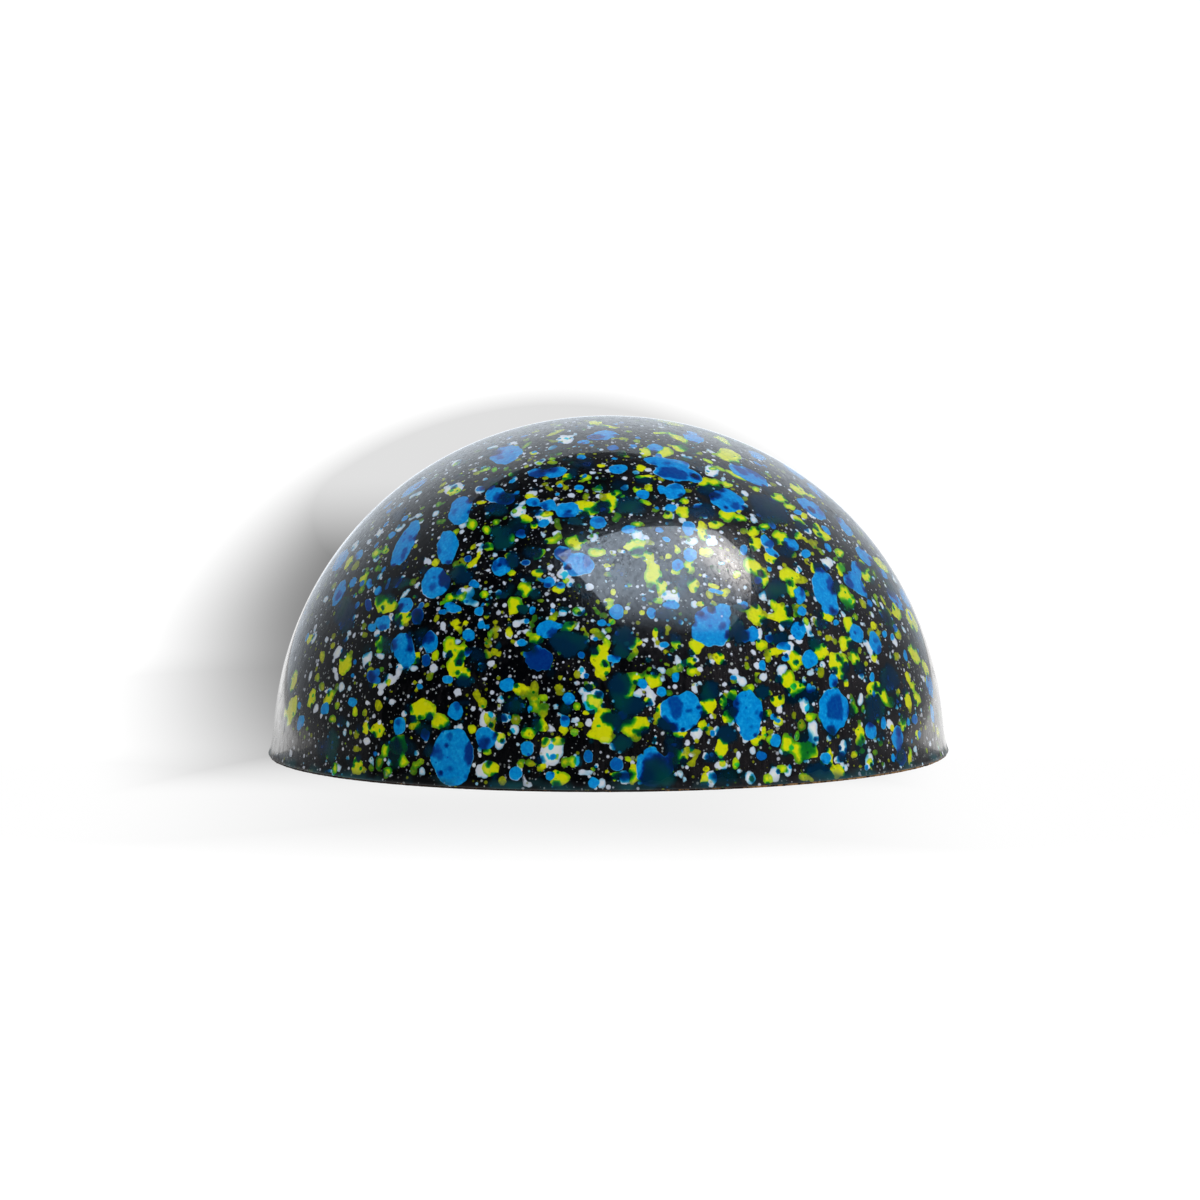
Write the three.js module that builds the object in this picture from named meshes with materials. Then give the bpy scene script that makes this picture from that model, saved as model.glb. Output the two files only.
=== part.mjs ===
// A moulded chocolate praline: a glossy half sphere of dark chocolate, painted in its mould,
// standing on the thin layer of bare chocolate that closed it.
// Millimetres, +Z up, origin at the middle of the flat base.

import * as THREE from 'three';

// Driving dimensions

// The half-sphere cavity of a common 30 mm praline mould
const MOULD_DIAMETER = 30;
// Power of the dome's outline: 2 is a circle, a little more is fuller at the shoulder
const OUTLINE_POWER = 2.034;
// The outline's widest level, above the base
const WIDEST_LEVEL = 0.07;

// The foot turns out where the mould was scraped level: by how much, and over what height it fades
const LIP_OUTWARD = 0.26;
const LIP_FADE_HEIGHT = 0.5;
const LIP_ROUNDING = 0.05;

// The bare closing layer that shows as a thin line below the paint
const CLOSING_LAYER_THICKNESS = 0.2;
const CLOSING_LAYER_INSET = 0.02;
// Its scraped edge crumbles: how deep, and how many crumbs lie round it in each of the waves
const CRUMB_DEPTH = 0.03;
const CRUMB_WAVES = [7, 16, 29, 43];
// The crumbs' waves start at turns of the golden angle, so that no two places look alike
const GOLDEN_ANGLE = Math.PI * (3 - Math.sqrt(5));

// Facets
const DOME_SIDES = 72;
const DOME_RINGS = 20;
const RING_CROWDING = 1.25;
const ROUNDING_STEPS = 3;
const CLOSING_LAYER_SIDES = 144;

const MOULD_RADIUS = MOULD_DIAMETER / 2;
const DOME_TOP = WIDEST_LEVEL + MOULD_RADIUS;

// Radius of the dome at a height above the base
function domeRadius(height) {
  const rise = Math.min(Math.abs(height - WIDEST_LEVEL) / MOULD_RADIUS, 1);
  const arc = MOULD_RADIUS * (1 - rise ** OUTLINE_POWER) ** (1 / OUTLINE_POWER);
  const lip = LIP_OUTWARD * Math.exp(-height / LIP_FADE_HEIGHT);
  return rise < 1 ? arc + lip : 0;
}

// Half of the dome's outline, from the middle of its underside round the lip to its top
function domeOutline() {
  const underside = CLOSING_LAYER_THICKNESS;
  const edge = domeRadius(underside + LIP_ROUNDING);
  const outline = [new THREE.Vector2(0, underside)];
  for (let step = 0; step <= ROUNDING_STEPS; step += 1) {
    const turn = (Math.PI / 2) * (step / ROUNDING_STEPS);
    outline.push(new THREE.Vector2(
      edge - LIP_ROUNDING * (1 - Math.sin(turn)),
      underside + LIP_ROUNDING * (1 - Math.cos(turn)),
    ));
  }
  // The rings lie closer together over the lip, and are even by angle above it
  const lowest = underside + LIP_ROUNDING;
  const lowestAngle = Math.asin((lowest - WIDEST_LEVEL) / MOULD_RADIUS);
  for (let ring = 1; ring < DOME_RINGS; ring += 1) {
    const share = (ring / DOME_RINGS) ** RING_CROWDING;
    const angle = lowestAngle + (Math.PI / 2 - lowestAngle) * share;
    const height = WIDEST_LEVEL + MOULD_RADIUS * Math.sin(angle);
    outline.push(new THREE.Vector2(domeRadius(height), height));
  }
  outline.push(new THREE.Vector2(0, DOME_TOP));
  return outline;
}

// A solid turned round the upright axis
function turned(outline, sides) {
  const geometry = new THREE.LatheGeometry(outline, sides);
  geometry.rotateX(Math.PI / 2);
  return geometry;
}

// The crumbled edge's depth at an angle round the base, from -1 to 1
function crumbs(angle) {
  const heights = CRUMB_WAVES.map((count, wave) => Math.sin(count * angle + wave * GOLDEN_ANGLE));
  return heights.reduce((sum, height) => sum + height, 0) / CRUMB_WAVES.length;
}

// The closing layer: a thin disc whose edge crumbles in and out
function closingLayer() {
  const radius = domeRadius(CLOSING_LAYER_THICKNESS) - CLOSING_LAYER_INSET;
  const outline = [
    new THREE.Vector2(0, 0),
    new THREE.Vector2(radius, 0),
    new THREE.Vector2(radius, CLOSING_LAYER_THICKNESS),
    new THREE.Vector2(0, CLOSING_LAYER_THICKNESS),
  ];
  const geometry = turned(outline, CLOSING_LAYER_SIDES);
  const places = geometry.getAttribute('position');
  for (let corner = 0; corner < places.count; corner += 1) {
    const x = places.getX(corner);
    const y = places.getY(corner);
    const onEdge = Math.hypot(x, y) > radius / 2;
    const growth = onEdge ? 1 + (CRUMB_DEPTH / radius) * crumbs(Math.atan2(y, x)) : 1;
    places.setXY(corner, x * growth, y * growth);
  }
  geometry.computeVertexNormals();
  return geometry;
}

// Materials

const paintedChocolate = new THREE.MeshStandardMaterial({
  name: 'painted_dark_chocolate',
  color: new THREE.Color(0.03, 0.06, 0.1),
  roughness: 0.18,
  metalness: 0,
});

const bareChocolate = new THREE.MeshStandardMaterial({
  name: 'bare_chocolate',
  color: new THREE.Color(0.13, 0.055, 0.028),
  roughness: 0.6,
  metalness: 0,
});

// Assembly

function namedMesh(name, geometry, material) {
  const mesh = new THREE.Mesh(geometry, material);
  mesh.name = name;
  return mesh;
}

const praline = new THREE.Group();
praline.name = 'chocolate_praline';
praline.add(namedMesh('painted_dome', turned(domeOutline(), DOME_SIDES), paintedChocolate));
praline.add(namedMesh('closing_layer', closingLayer(), bareChocolate));

export default praline;
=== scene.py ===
import math
import random
from collections import namedtuple

import bpy
import numpy as np
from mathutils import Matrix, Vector, noise


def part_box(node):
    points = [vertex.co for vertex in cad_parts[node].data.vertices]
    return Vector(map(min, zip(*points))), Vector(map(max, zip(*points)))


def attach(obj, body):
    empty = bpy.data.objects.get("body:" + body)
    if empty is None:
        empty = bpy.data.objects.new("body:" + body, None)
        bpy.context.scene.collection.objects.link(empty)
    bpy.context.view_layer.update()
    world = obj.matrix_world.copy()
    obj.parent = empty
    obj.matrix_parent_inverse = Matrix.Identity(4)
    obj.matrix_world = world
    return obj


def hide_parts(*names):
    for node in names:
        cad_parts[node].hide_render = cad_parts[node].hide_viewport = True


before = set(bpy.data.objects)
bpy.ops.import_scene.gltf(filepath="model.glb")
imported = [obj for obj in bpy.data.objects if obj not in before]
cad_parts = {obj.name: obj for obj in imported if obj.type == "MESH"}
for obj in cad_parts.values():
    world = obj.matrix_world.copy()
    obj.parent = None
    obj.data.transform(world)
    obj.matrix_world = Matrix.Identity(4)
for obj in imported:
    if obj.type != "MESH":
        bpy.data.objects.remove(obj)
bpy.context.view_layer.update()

MM = 0.001

# The praline's own measures, in metres, as its solids have them
DOME_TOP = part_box("painted_dome")[1][2]
layer_low, layer_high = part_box("closing_layer")
BASE_LEVEL = layer_low[2]
LAYER_TOP = layer_high[2]
WIDEST_LEVEL = 0.07 * MM
MOULD_RADIUS = DOME_TOP - WIDEST_LEVEL
OUTLINE_POWER = 2.034
LIP_OUTWARD = 0.26 * MM
LIP_FADE_HEIGHT = 0.5 * MM
LIP_ROUNDING = 0.05 * MM
LAYER_INSET = 0.06 * MM
# The paint was drawn down over most of the closing layer's edge: this much of it still shows
LAYER_SHOWING = 0.08 * MM

# The camera's place, as the photograph's perspective gives it
AIM_HEIGHT = 7.1 * MM
CAMERA_DISTANCE = 304.2 * MM
CAMERA_RISE = math.radians(5.1)
CAMERA_ROLL = math.radians(0.235)
AIM_LEFT = 0.35 * MM
AIM_BELOW = 0.25 * MM
LENS_LENGTH = 204.3
SENSOR_WIDTH = 36.0

# Droplets read off the photograph: across and up from the middle of the base, width and height, and turn in
# degrees where there is one. All in millimetres on a plane through the praline's axis.

WHITES = (
    # Left flank, foot
    (-12.25,3.7,.2,.3), (-12.17,3.4,.2,.4), (-13.35,3.4,.12,.6,-15), (-11.95,2.9,.25,.42,-10),
    (-12.9,2.9,.18,.3), (-12.6,2.75,.2,.25,-30), (-12.45,2.8,.2,.2), (-13.1,1.95,.2,.45,-20),
    (-12.87,1.65,.12,.22,-15), (-11.97,1.92,.12,.2), (-11.67,1.3,.16,.25), (-10.8,2.22,.2,.2),
    (-10.5,1.6,.15,.2), (-11.82,.87,.13,.2), (-11.2,1.05,.12,.2), (-11.25,1.52,.1,.15), (-10.82,1.35,.2,.2),
    (-10.83,.5,.35,.35), (-9.7,2.25,.25,.2), (-12.1,-.7,.25,.35), (-12.5,-.85,.4,.15), (-12.6,-.35,.12,.18),
    (-12.2,-.25,.1,.2), (-10.62,-.35,.18,.2), (-10.55,-.6,.12,.15), (-10.85,-.42,.12,.15),
    (-9.95,-.95,.2,.35), (-9.83,-.5,.18,.22), (-14.22,-.05,.12,.3), (-10.15,2.95,.35,.25),
    (-10.2,2.7,.25,.35,-40), (-12.85,-.05,.1,.2), (-11.6,2.85,.18,.25), (-12.83,2.9,.2,.25),
    # Left flank, shoulder
    (-10.8,4.2,.42,.55,-10), (-10.95,3.9,.12,.25), (-12.65,6.85,.32,.35,-30), (-12.1,4.5,.28,.7,-25),
    (-12.3,4.1,.1,.25,-30), (-12.85,6.18,.15,.15), (-11.6,5.35,.2,.25), (-11.37,5.25,.15,.25,-20),
    (-11.8,5.0,.12,.2,-20), (-12.4,5.05,.15,.15), (-12.62,5.05,.12,.2), (-10.27,7.85,.18,.3,-35),
    (-10.6,8.22,.15,.2,-40), (-10.48,7.35,.12,.3,-10), (-9.87,7.55,.15,.65,-20), (-10.4,6.85,.1,.2),
    (-9.72,6.05,.2,.38), (-10.37,5.35,.22,.3,-20), (-10.2,4.3,.35,.25), (-11.0,5.85,.12,.2,-30),
    (-9.25,5.62,.22,.3), (-8.93,5.33,.18,.18), (-9.2,3.85,.6,.25), (-9.4,3.6,.25,.35), (-9.75,3.85,.12,.2),
    (-13.2,5.1,.2,.6,-25), (-13.12,5.6,.1,.3,-15), (-11.4,6.05,.1,.3,-35), (-9.65,4.75,.2,.45),
    (-10.4,8.65,.25,.35,-30), (-11.35,9.25,.2,.6,-32), (-10.25,9.85,.18,.55,-38), (-8.45,11.6,.12,.3,-50),
    (-8.8,11.45,.12,.3,-50), (-9.3,11.1,.1,.35,-55), (-8.4,10.32,.1,.25,-55), (-8.85,10.45,.25,.1,20),
    (-9.4,10.0,.4,.25), (-9.2,10.15,.2,.2), (-10.7,9.45,.15,.35,-40),
    # Front left, foot
    (-7.85,3.8,.35,.45), (-9.8,3.25,.4,.5), (-6.75,2.7,.3,.4), (-6.65,1.1,.35,.3), (-9.15,1.7,.25,.3),
    (-6.05,1.95,.25,.25), (-5.7,2.0,.2,.2), (-5.45,1.5,.7,.7), (-4.85,.55,.45,.8), (-4.85,2.35,.35,.4),
    (-4.9,2.0,.15,.3), (-5.8,-.8,.2,.5), (-5.75,0,.2,.5), (-8.35,-.85,.25,.3), (-8.6,0,.2,.25),
    (-9.8,-.45,.2,.3), (-5.2,2.35,.2,.2), (-8.85,-.85,.2,.2), (-5.25,3.95,.3,.3), (-8.1,2.7,.15,.2),
    (-8.4,3.15,.2,.25), (-5.55,-.75,.5,.75),
    # Front left, shoulder
    (-6.5,7.05,.75,.6), (-6.3,6.75,.4,.35), (-6.15,7.2,.25,.4), (-5.95,6.65,.35,.3), (-7.4,5.65,.32,.38),
    (-6.27,5.45,.25,.3), (-5.7,5.95,.2,.3), (-9.1,7.1,.12,.7,-42), (-8.55,7.5,.3,.15,40),
    (-8.75,7.55,.15,.15), (-7.65,6.7,.2,.15), (-8.4,4.65,.15,.35,-20), (-8.2,4.35,.15,.15),
    (-8.7,3.75,.35,.25), (-5.75,4.0,.15,.2), (-6.15,3.9,.12,.15), (-6.0,4.7,.12,.12), (-6.2,4.45,.1,.15),
    (-5.2,4.8,.12,.12), (-6.8,4.93,.2,.15), (-7.22,5.38,.15,.15), (-5.85,9.3,.2,.12,20), (-5.8,9.0,.15,.12),
    (-5.07,8.82,.25,.2,20), (-4.65,9.07,.18,.12), (-5.35,8.75,.1,.1), (-5.4,8.15,.25,.15),
    (-5.0,7.8,.2,.15), (-4.65,7.57,.15,.1), (-4.9,7.15,.22,.2), (-5.45,6.85,.2,.08,30), (-5.55,7.3,.1,.1),
    (-5.3,7.18,.1,.1), (-4.6,6.1,.22,.22), (-4.9,5.5,.2,.25), (-4.13,5.75,.3,.3), (-4.55,6.45,.1,.25,-15),
    (-8.1,8.6,.2,.45,35), (-4.45,5.25,.35,.35), (-7.35,4.4,.15,.35),
    # Left of the crown
    (-6.95,11.8,.95,.45,15), (-5.75,11.75,.45,.4), (-7.72,10.7,.2,.42,-50), (-6.55,10.17,.28,.2,30),
    (-6.55,9.88,.25,.17,20), (-5.5,12.25,.18,.15), (-6.65,12.4,.18,.15,20), (-5.65,9.63,.12,.12),
    (-5.8,10.1,.12,.1), (-6.45,9.5,.25,.1,25), (-5.95,12.6,.2,.1,10), (-6.0,11.1,.15,.1),
    (-6.8,12.97,.5,.2,30), (-6.3,10.4,.2,.2), (-5.55,12.72,.45,.25,20), (-8.53,10.6,.3,.2,20),
    (-4.2,12.25,.3,.25,40), (-7.25,12.5,.2,.12,30),
    # Front middle, foot
    (-2.55,.05,1.05,1.25), (-1.2,3.55,.4,.5), (-1.2,2.75,.4,.4), (-.7,2.35,1.0,.9), (-.35,2.05,.25,.3),
    (-1.45,3.1,.2,.2), (-.75,3.1,.2,.2), (-3.85,2.1,.2,.2), (-3.55,2.05,.2,.15), (-4.35,2.15,.15,.2),
    (-4.6,1.5,.4,.35), (-4.2,1.05,.45,.4), (-3.3,1.45,.15,.15), (-2.45,1.0,.3,.25), (-1.5,1.45,.35,.2),
    (-.85,1.3,.35,.35), (-1.55,.9,.35,.25), (-.15,.55,.4,.25), (.4,1.45,.2,.3,-40), (-4.05,.35,.15,.15),
    (-.55,-.6,.15,.2), (-1.0,-.9,.7,.25), (-.3,-1.35,.35,.5), (-3.6,-1.45,.45,.3), (-3.2,-1.2,.15,.2),
    (-3.8,-1.15,.15,.2), (-1.45,-.35,.3,.6),
    # Front middle, shoulder
    (-1.95,8.0,.55,.6), (-1.7,7.65,.35,.25), (-2.05,6.25,.4,.35), (-1.35,6.3,.5,.45), (-1.4,5.65,.3,.35),
    (-2.5,6.55,.2,.25), (-2.55,6.2,.15,.15), (-3.0,6.38,.2,.22), (-3.68,5.85,.3,.2), (-3.65,5.4,.4,.25),
    (-4.1,4.85,.22,.3), (-3.75,4.9,.4,.22), (-.7,5.18,.28,.28), (-.2,5.4,.25,.35,20), (-1.03,4.95,.15,.15),
    (-1.05,5.25,.12,.1), (-.35,5.08,.15,.1), (-.75,3.98,.12,.25), (-.85,7.4,.38,.35), (-2.45,7.7,.2,.3),
    (-3.83,7.7,.3,.2,-25), (-3.4,7.57,.1,.1), (-2.7,9.07,.25,.12), (-1.75,7.45,.2,.15), (-1.45,7.33,.1,.1),
    (-1.12,7.17,.12,.12), (-3.95,8.12,.15,.15), (.35,7.0,.25,.25,30), (-.1,6.8,.25,.2), (-2.72,6.8,.1,.1),
    (-2.6,8.3,.25,.2),
    # Crown, left
    (-2.9,10.5,.8,.5), (-4.0,10.75,.65,.5), (-3.4,11.6,.5,.3,10), (-1.95,14.0,.9,.35,8),
    (-2.5,13.65,.5,.15,20), (-1.65,11.5,.35,.2), (-.45,11.8,.35,.35), (-.4,11.47,.25,.15),
    (-1.0,11.7,.2,.15), (-2.3,9.8,.35,.25), (-2.92,9.72,.2,.18), (-.65,9.6,.45,.38), (-.85,9.88,.25,.2,20),
    (-1.2,9.82,.2,.12), (-3.75,12.9,.2,.2), (-3.5,12.85,.2,.2), (-3.6,12.57,.15,.12), (-2.9,13.1,.12,.1),
    (-3.8,13.37,.15,.1), (-1.6,12.15,.2,.1), (-.75,12.52,.25,.12), (-.5,12.27,.2,.12), (-2.35,11.35,.2,.15),
    (-1.7,11.75,.12,.12), (-2.05,11.8,.2,.12), (-3.5,11.85,.12,.15), (-3.2,11.97,.12,.1),
    (-3.35,12.15,.1,.1), (-3.8,11.2,.2,.12), (-.2,10.9,.2,.15), (-1.15,10.2,.3,.1), (-5.2,13.65,.6,.12,15),
    (-4.3,13.85,.5,.12,20), (-3.15,13.4,.2,.12), (-3.1,12.95,.38,.18), (-.8,14.62,.3,.12),
    # Front right, foot
    (1.3,2.6,.4,.35), (1.9,2.5,.4,.5), (2.0,2.2,.2,.2), (1.7,2.9,.35,.25), (1.95,3.5,.2,.2),
    (3.85,2.85,.25,.4), (3.95,.8,.5,.55), (4.8,.95,.2,.4), (2.4,3.7,.3,.2,-30), (4.1,3.7,.2,.2),
    (5.3,2.7,.25,.3), (5.0,2.6,.15,.2), (5.2,3.05,.2,.2), (5.7,3.3,.25,.25), (5.45,3.65,.2,.2),
    (5.7,3.62,.2,.2), (5.5,1.35,.35,.45), (3.2,-.95,.3,.3), (3.4,-1.2,.15,.25), (2.95,.35,.3,.12),
    (3.55,.4,.2,.2), (4.35,-.2,.25,.25), (4.5,.5,.15,.15), (5.05,-.6,.7,.4), (4.55,-1.2,.6,.7),
    (.7,-1.1,.45,.6), (3.75,-.1,.25,.2), (1.85,1.95,.12,.15), (.7,1.2,.2,.15),
    # Front right, shoulder
    (2.8,7.0,.8,.45), (3.0,6.8,.4,.4), (1.05,4.7,.4,.35), (2.1,5.05,.25,.2), (1.65,5.02,.2,.15),
    (2.4,4.72,.3,.3), (3.15,4.05,.3,.25), (3.15,3.85,.2,.35), (3.95,4.15,.2,.2), (4.65,4.15,.3,.4),
    (4.12,3.7,.2,.2), (3.07,4.3,.15,.15), (3.8,4.3,.15,.1), (5.35,4.8,.22,.2), (5.5,4.37,.12,.12),
    (1.9,7.25,.35,.15,-30), (1.5,6.2,.25,.2), (3.7,9.45,.5,.35), (3.3,9.4,.2,.15), (.65,9.0,.35,.2),
    (.2,8.95,.3,.15,-20), (2.35,3.7,.3,.2,-15), (2.0,3.85,.18,.18), (3.85,6.6,.25,.3), (4.3,7.9,.2,.2),
    (5.1,8.45,.4,.15),
    # Crown, right
    (4.6,12.6,.7,.5,-25), (1.8,12.65,.3,.2), (1.25,12.52,.3,.15), (.75,12.28,.25,.15), (.7,11.85,.35,.2,20),
    (.1,11.68,.18,.1), (3.05,11.05,.2,.25), (2.5,10.9,.2,.2), (2.8,11.35,.35,.1), (3.3,10.4,.3,.2,-15),
    (1.3,9.7,.5,.6), (1.7,9.55,.25,.35), (3.75,9.45,.45,.35), (4.6,9.5,.5,.6,35), (3.35,13.3,.3,.15,-15),
    (3.65,13.2,.2,.15), (1.1,13.65,.2,.1,-20), (2.85,10.6,.2,.3), (3.5,11.4,.15,.12), (3.95,11.35,.15,.15),
    (.25,13.07,.2,.1), (0,12.6,.25,.1), (3.9,11.0,.2,.1), (6.1,11.6,.4,.25,-40), (6.5,10.4,.3,.2,-30),
    (6.75,10.6,.25,.12,-20), (6.8,10.3,.12,.1), (8.35,10.5,.4,.2,-40), (9.1,10.6,.45,.15,-35),
    (8.95,9.9,.3,.2,-20), (7.1,12.0,.3,.12,-20), (7.1,12.55,.25,.15,-30), (7.65,12.0,.35,.12,-35),
    (8.1,11.75,.25,.1,-40), (4.6,13.45,.35,.12,-20), (6.9,9.85,.2,.12,-40), (5.2,12.45,.15,.1),
    (5.15,12.27,.12,.1),
    # Right, foot
    (6.0,3.15,.3,.35), (6.95,3.35,.3,.35), (7.15,3.7,.2,.2), (7.7,3.5,.25,.25), (8.95,3.55,.15,.15),
    (9.6,3.9,.25,.25), (8.75,3.25,.15,.25), (9.2,2.85,.2,.35), (8.8,2.1,.45,.8), (9.15,1.0,.4,.9),
    (9.2,.6,.45,.6), (7.65,1.95,.3,.45), (7.6,1.35,.4,.5), (8.2,1.2,.15,.2), (7.35,.8,.15,.25),
    (8.4,.7,.15,.35), (9.85,.65,.2,.25), (5.85,1.05,.25,.2), (7.75,.05,.3,.3), (6.45,.1,.2,.3),
    (10.5,.2,.35,.7), (10.2,-.35,.2,.4), (10.45,-.55,.15,.2), (10.65,-.7,.15,.2), (5.8,-.15,.2,.4),
    (5.85,-.8,.2,.25), (6.3,-1.1,.5,.6), (7.4,-1.0,.5,.7), (8.0,-.85,.3,.4), (8.15,-.6,.12,.3),
    (8.8,-.4,.15,.2), (10.75,1.4,.15,.2), (6.1,.55,.2,.3), (11.3,2.4,.22,.6,-5), (11.7,-.4,.35,.6),
    (11.68,.08,.12,.12), (11.3,.45,.25,.35), (12.7,2.95,.12,.3,10), (12.93,2.0,.1,.25,5),
    (12.55,1.75,.1,.2), (12.52,3.35,.12,.25), (11.35,3.4,.15,.25,10), (12.3,.65,.1,.2,15),
    (13.73,.15,.15,.25), (14.1,3.3,.12,.35,15), (12.35,-.6,.1,.3), (14.4,.4,.1,.25), (12.6,1.25,.25,.5,10),
    (10.9,2.3,.1,.3), (13.65,-.35,.08,.3),
    # Right, shoulder
    (6.75,5.3,.25,.55), (6.9,7.0,.3,.45), (7.2,6.7,.2,.25), (7.7,8.25,.25,.2), (8.5,8.15,.3,.3,-20),
    (8.6,8.87,.18,.18), (9.6,9.0,.25,.2), (9.8,8.5,.55,.4,-35), (9.25,6.9,.2,.25), (9.2,6.0,.28,.3,25),
    (7.75,5.6,.2,.35,20), (8.2,5.15,.3,.25), (8.0,4.6,.5,.5), (8.1,4.75,.45,.35), (8.85,5.7,.35,.65,20),
    (8.55,4.95,.35,.2), (7.8,3.75,.45,.4), (6.65,3.9,.25,.3), (6.55,4.4,.12,.15), (6.95,4.2,.15,.15),
    (10.5,6.2,.1,.35,30), (6.1,7.35,.2,.2), (5.85,6.75,.2,.25), (7.65,6.55,.1,.2), (7.25,6.15,.35,.2),
    (10.25,7.85,.15,.12), (11.7,4.65,.25,.75,20), (11.9,4.15,.3,.2), (11.4,5.75,.25,.15,-15),
    (11.9,6.75,.12,.35,30), (11.7,6.65,.12,.25,25), (12.2,6.2,.12,.4,30), (12.25,6.55,.1,.4,30),
    (12.8,4.95,.2,.4,25), (13.25,5.45,.1,.3,25), (11.35,4.8,.1,.2,20), (10.4,4.4,.1,.3),
    (11.2,9.2,.1,.4,40), (12.8,7.75,.2,.5,35), (11.85,7.8,.12,.25,30), (12.6,4.45,.1,.15),
    (12.1,4.0,.12,.12),
)

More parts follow.
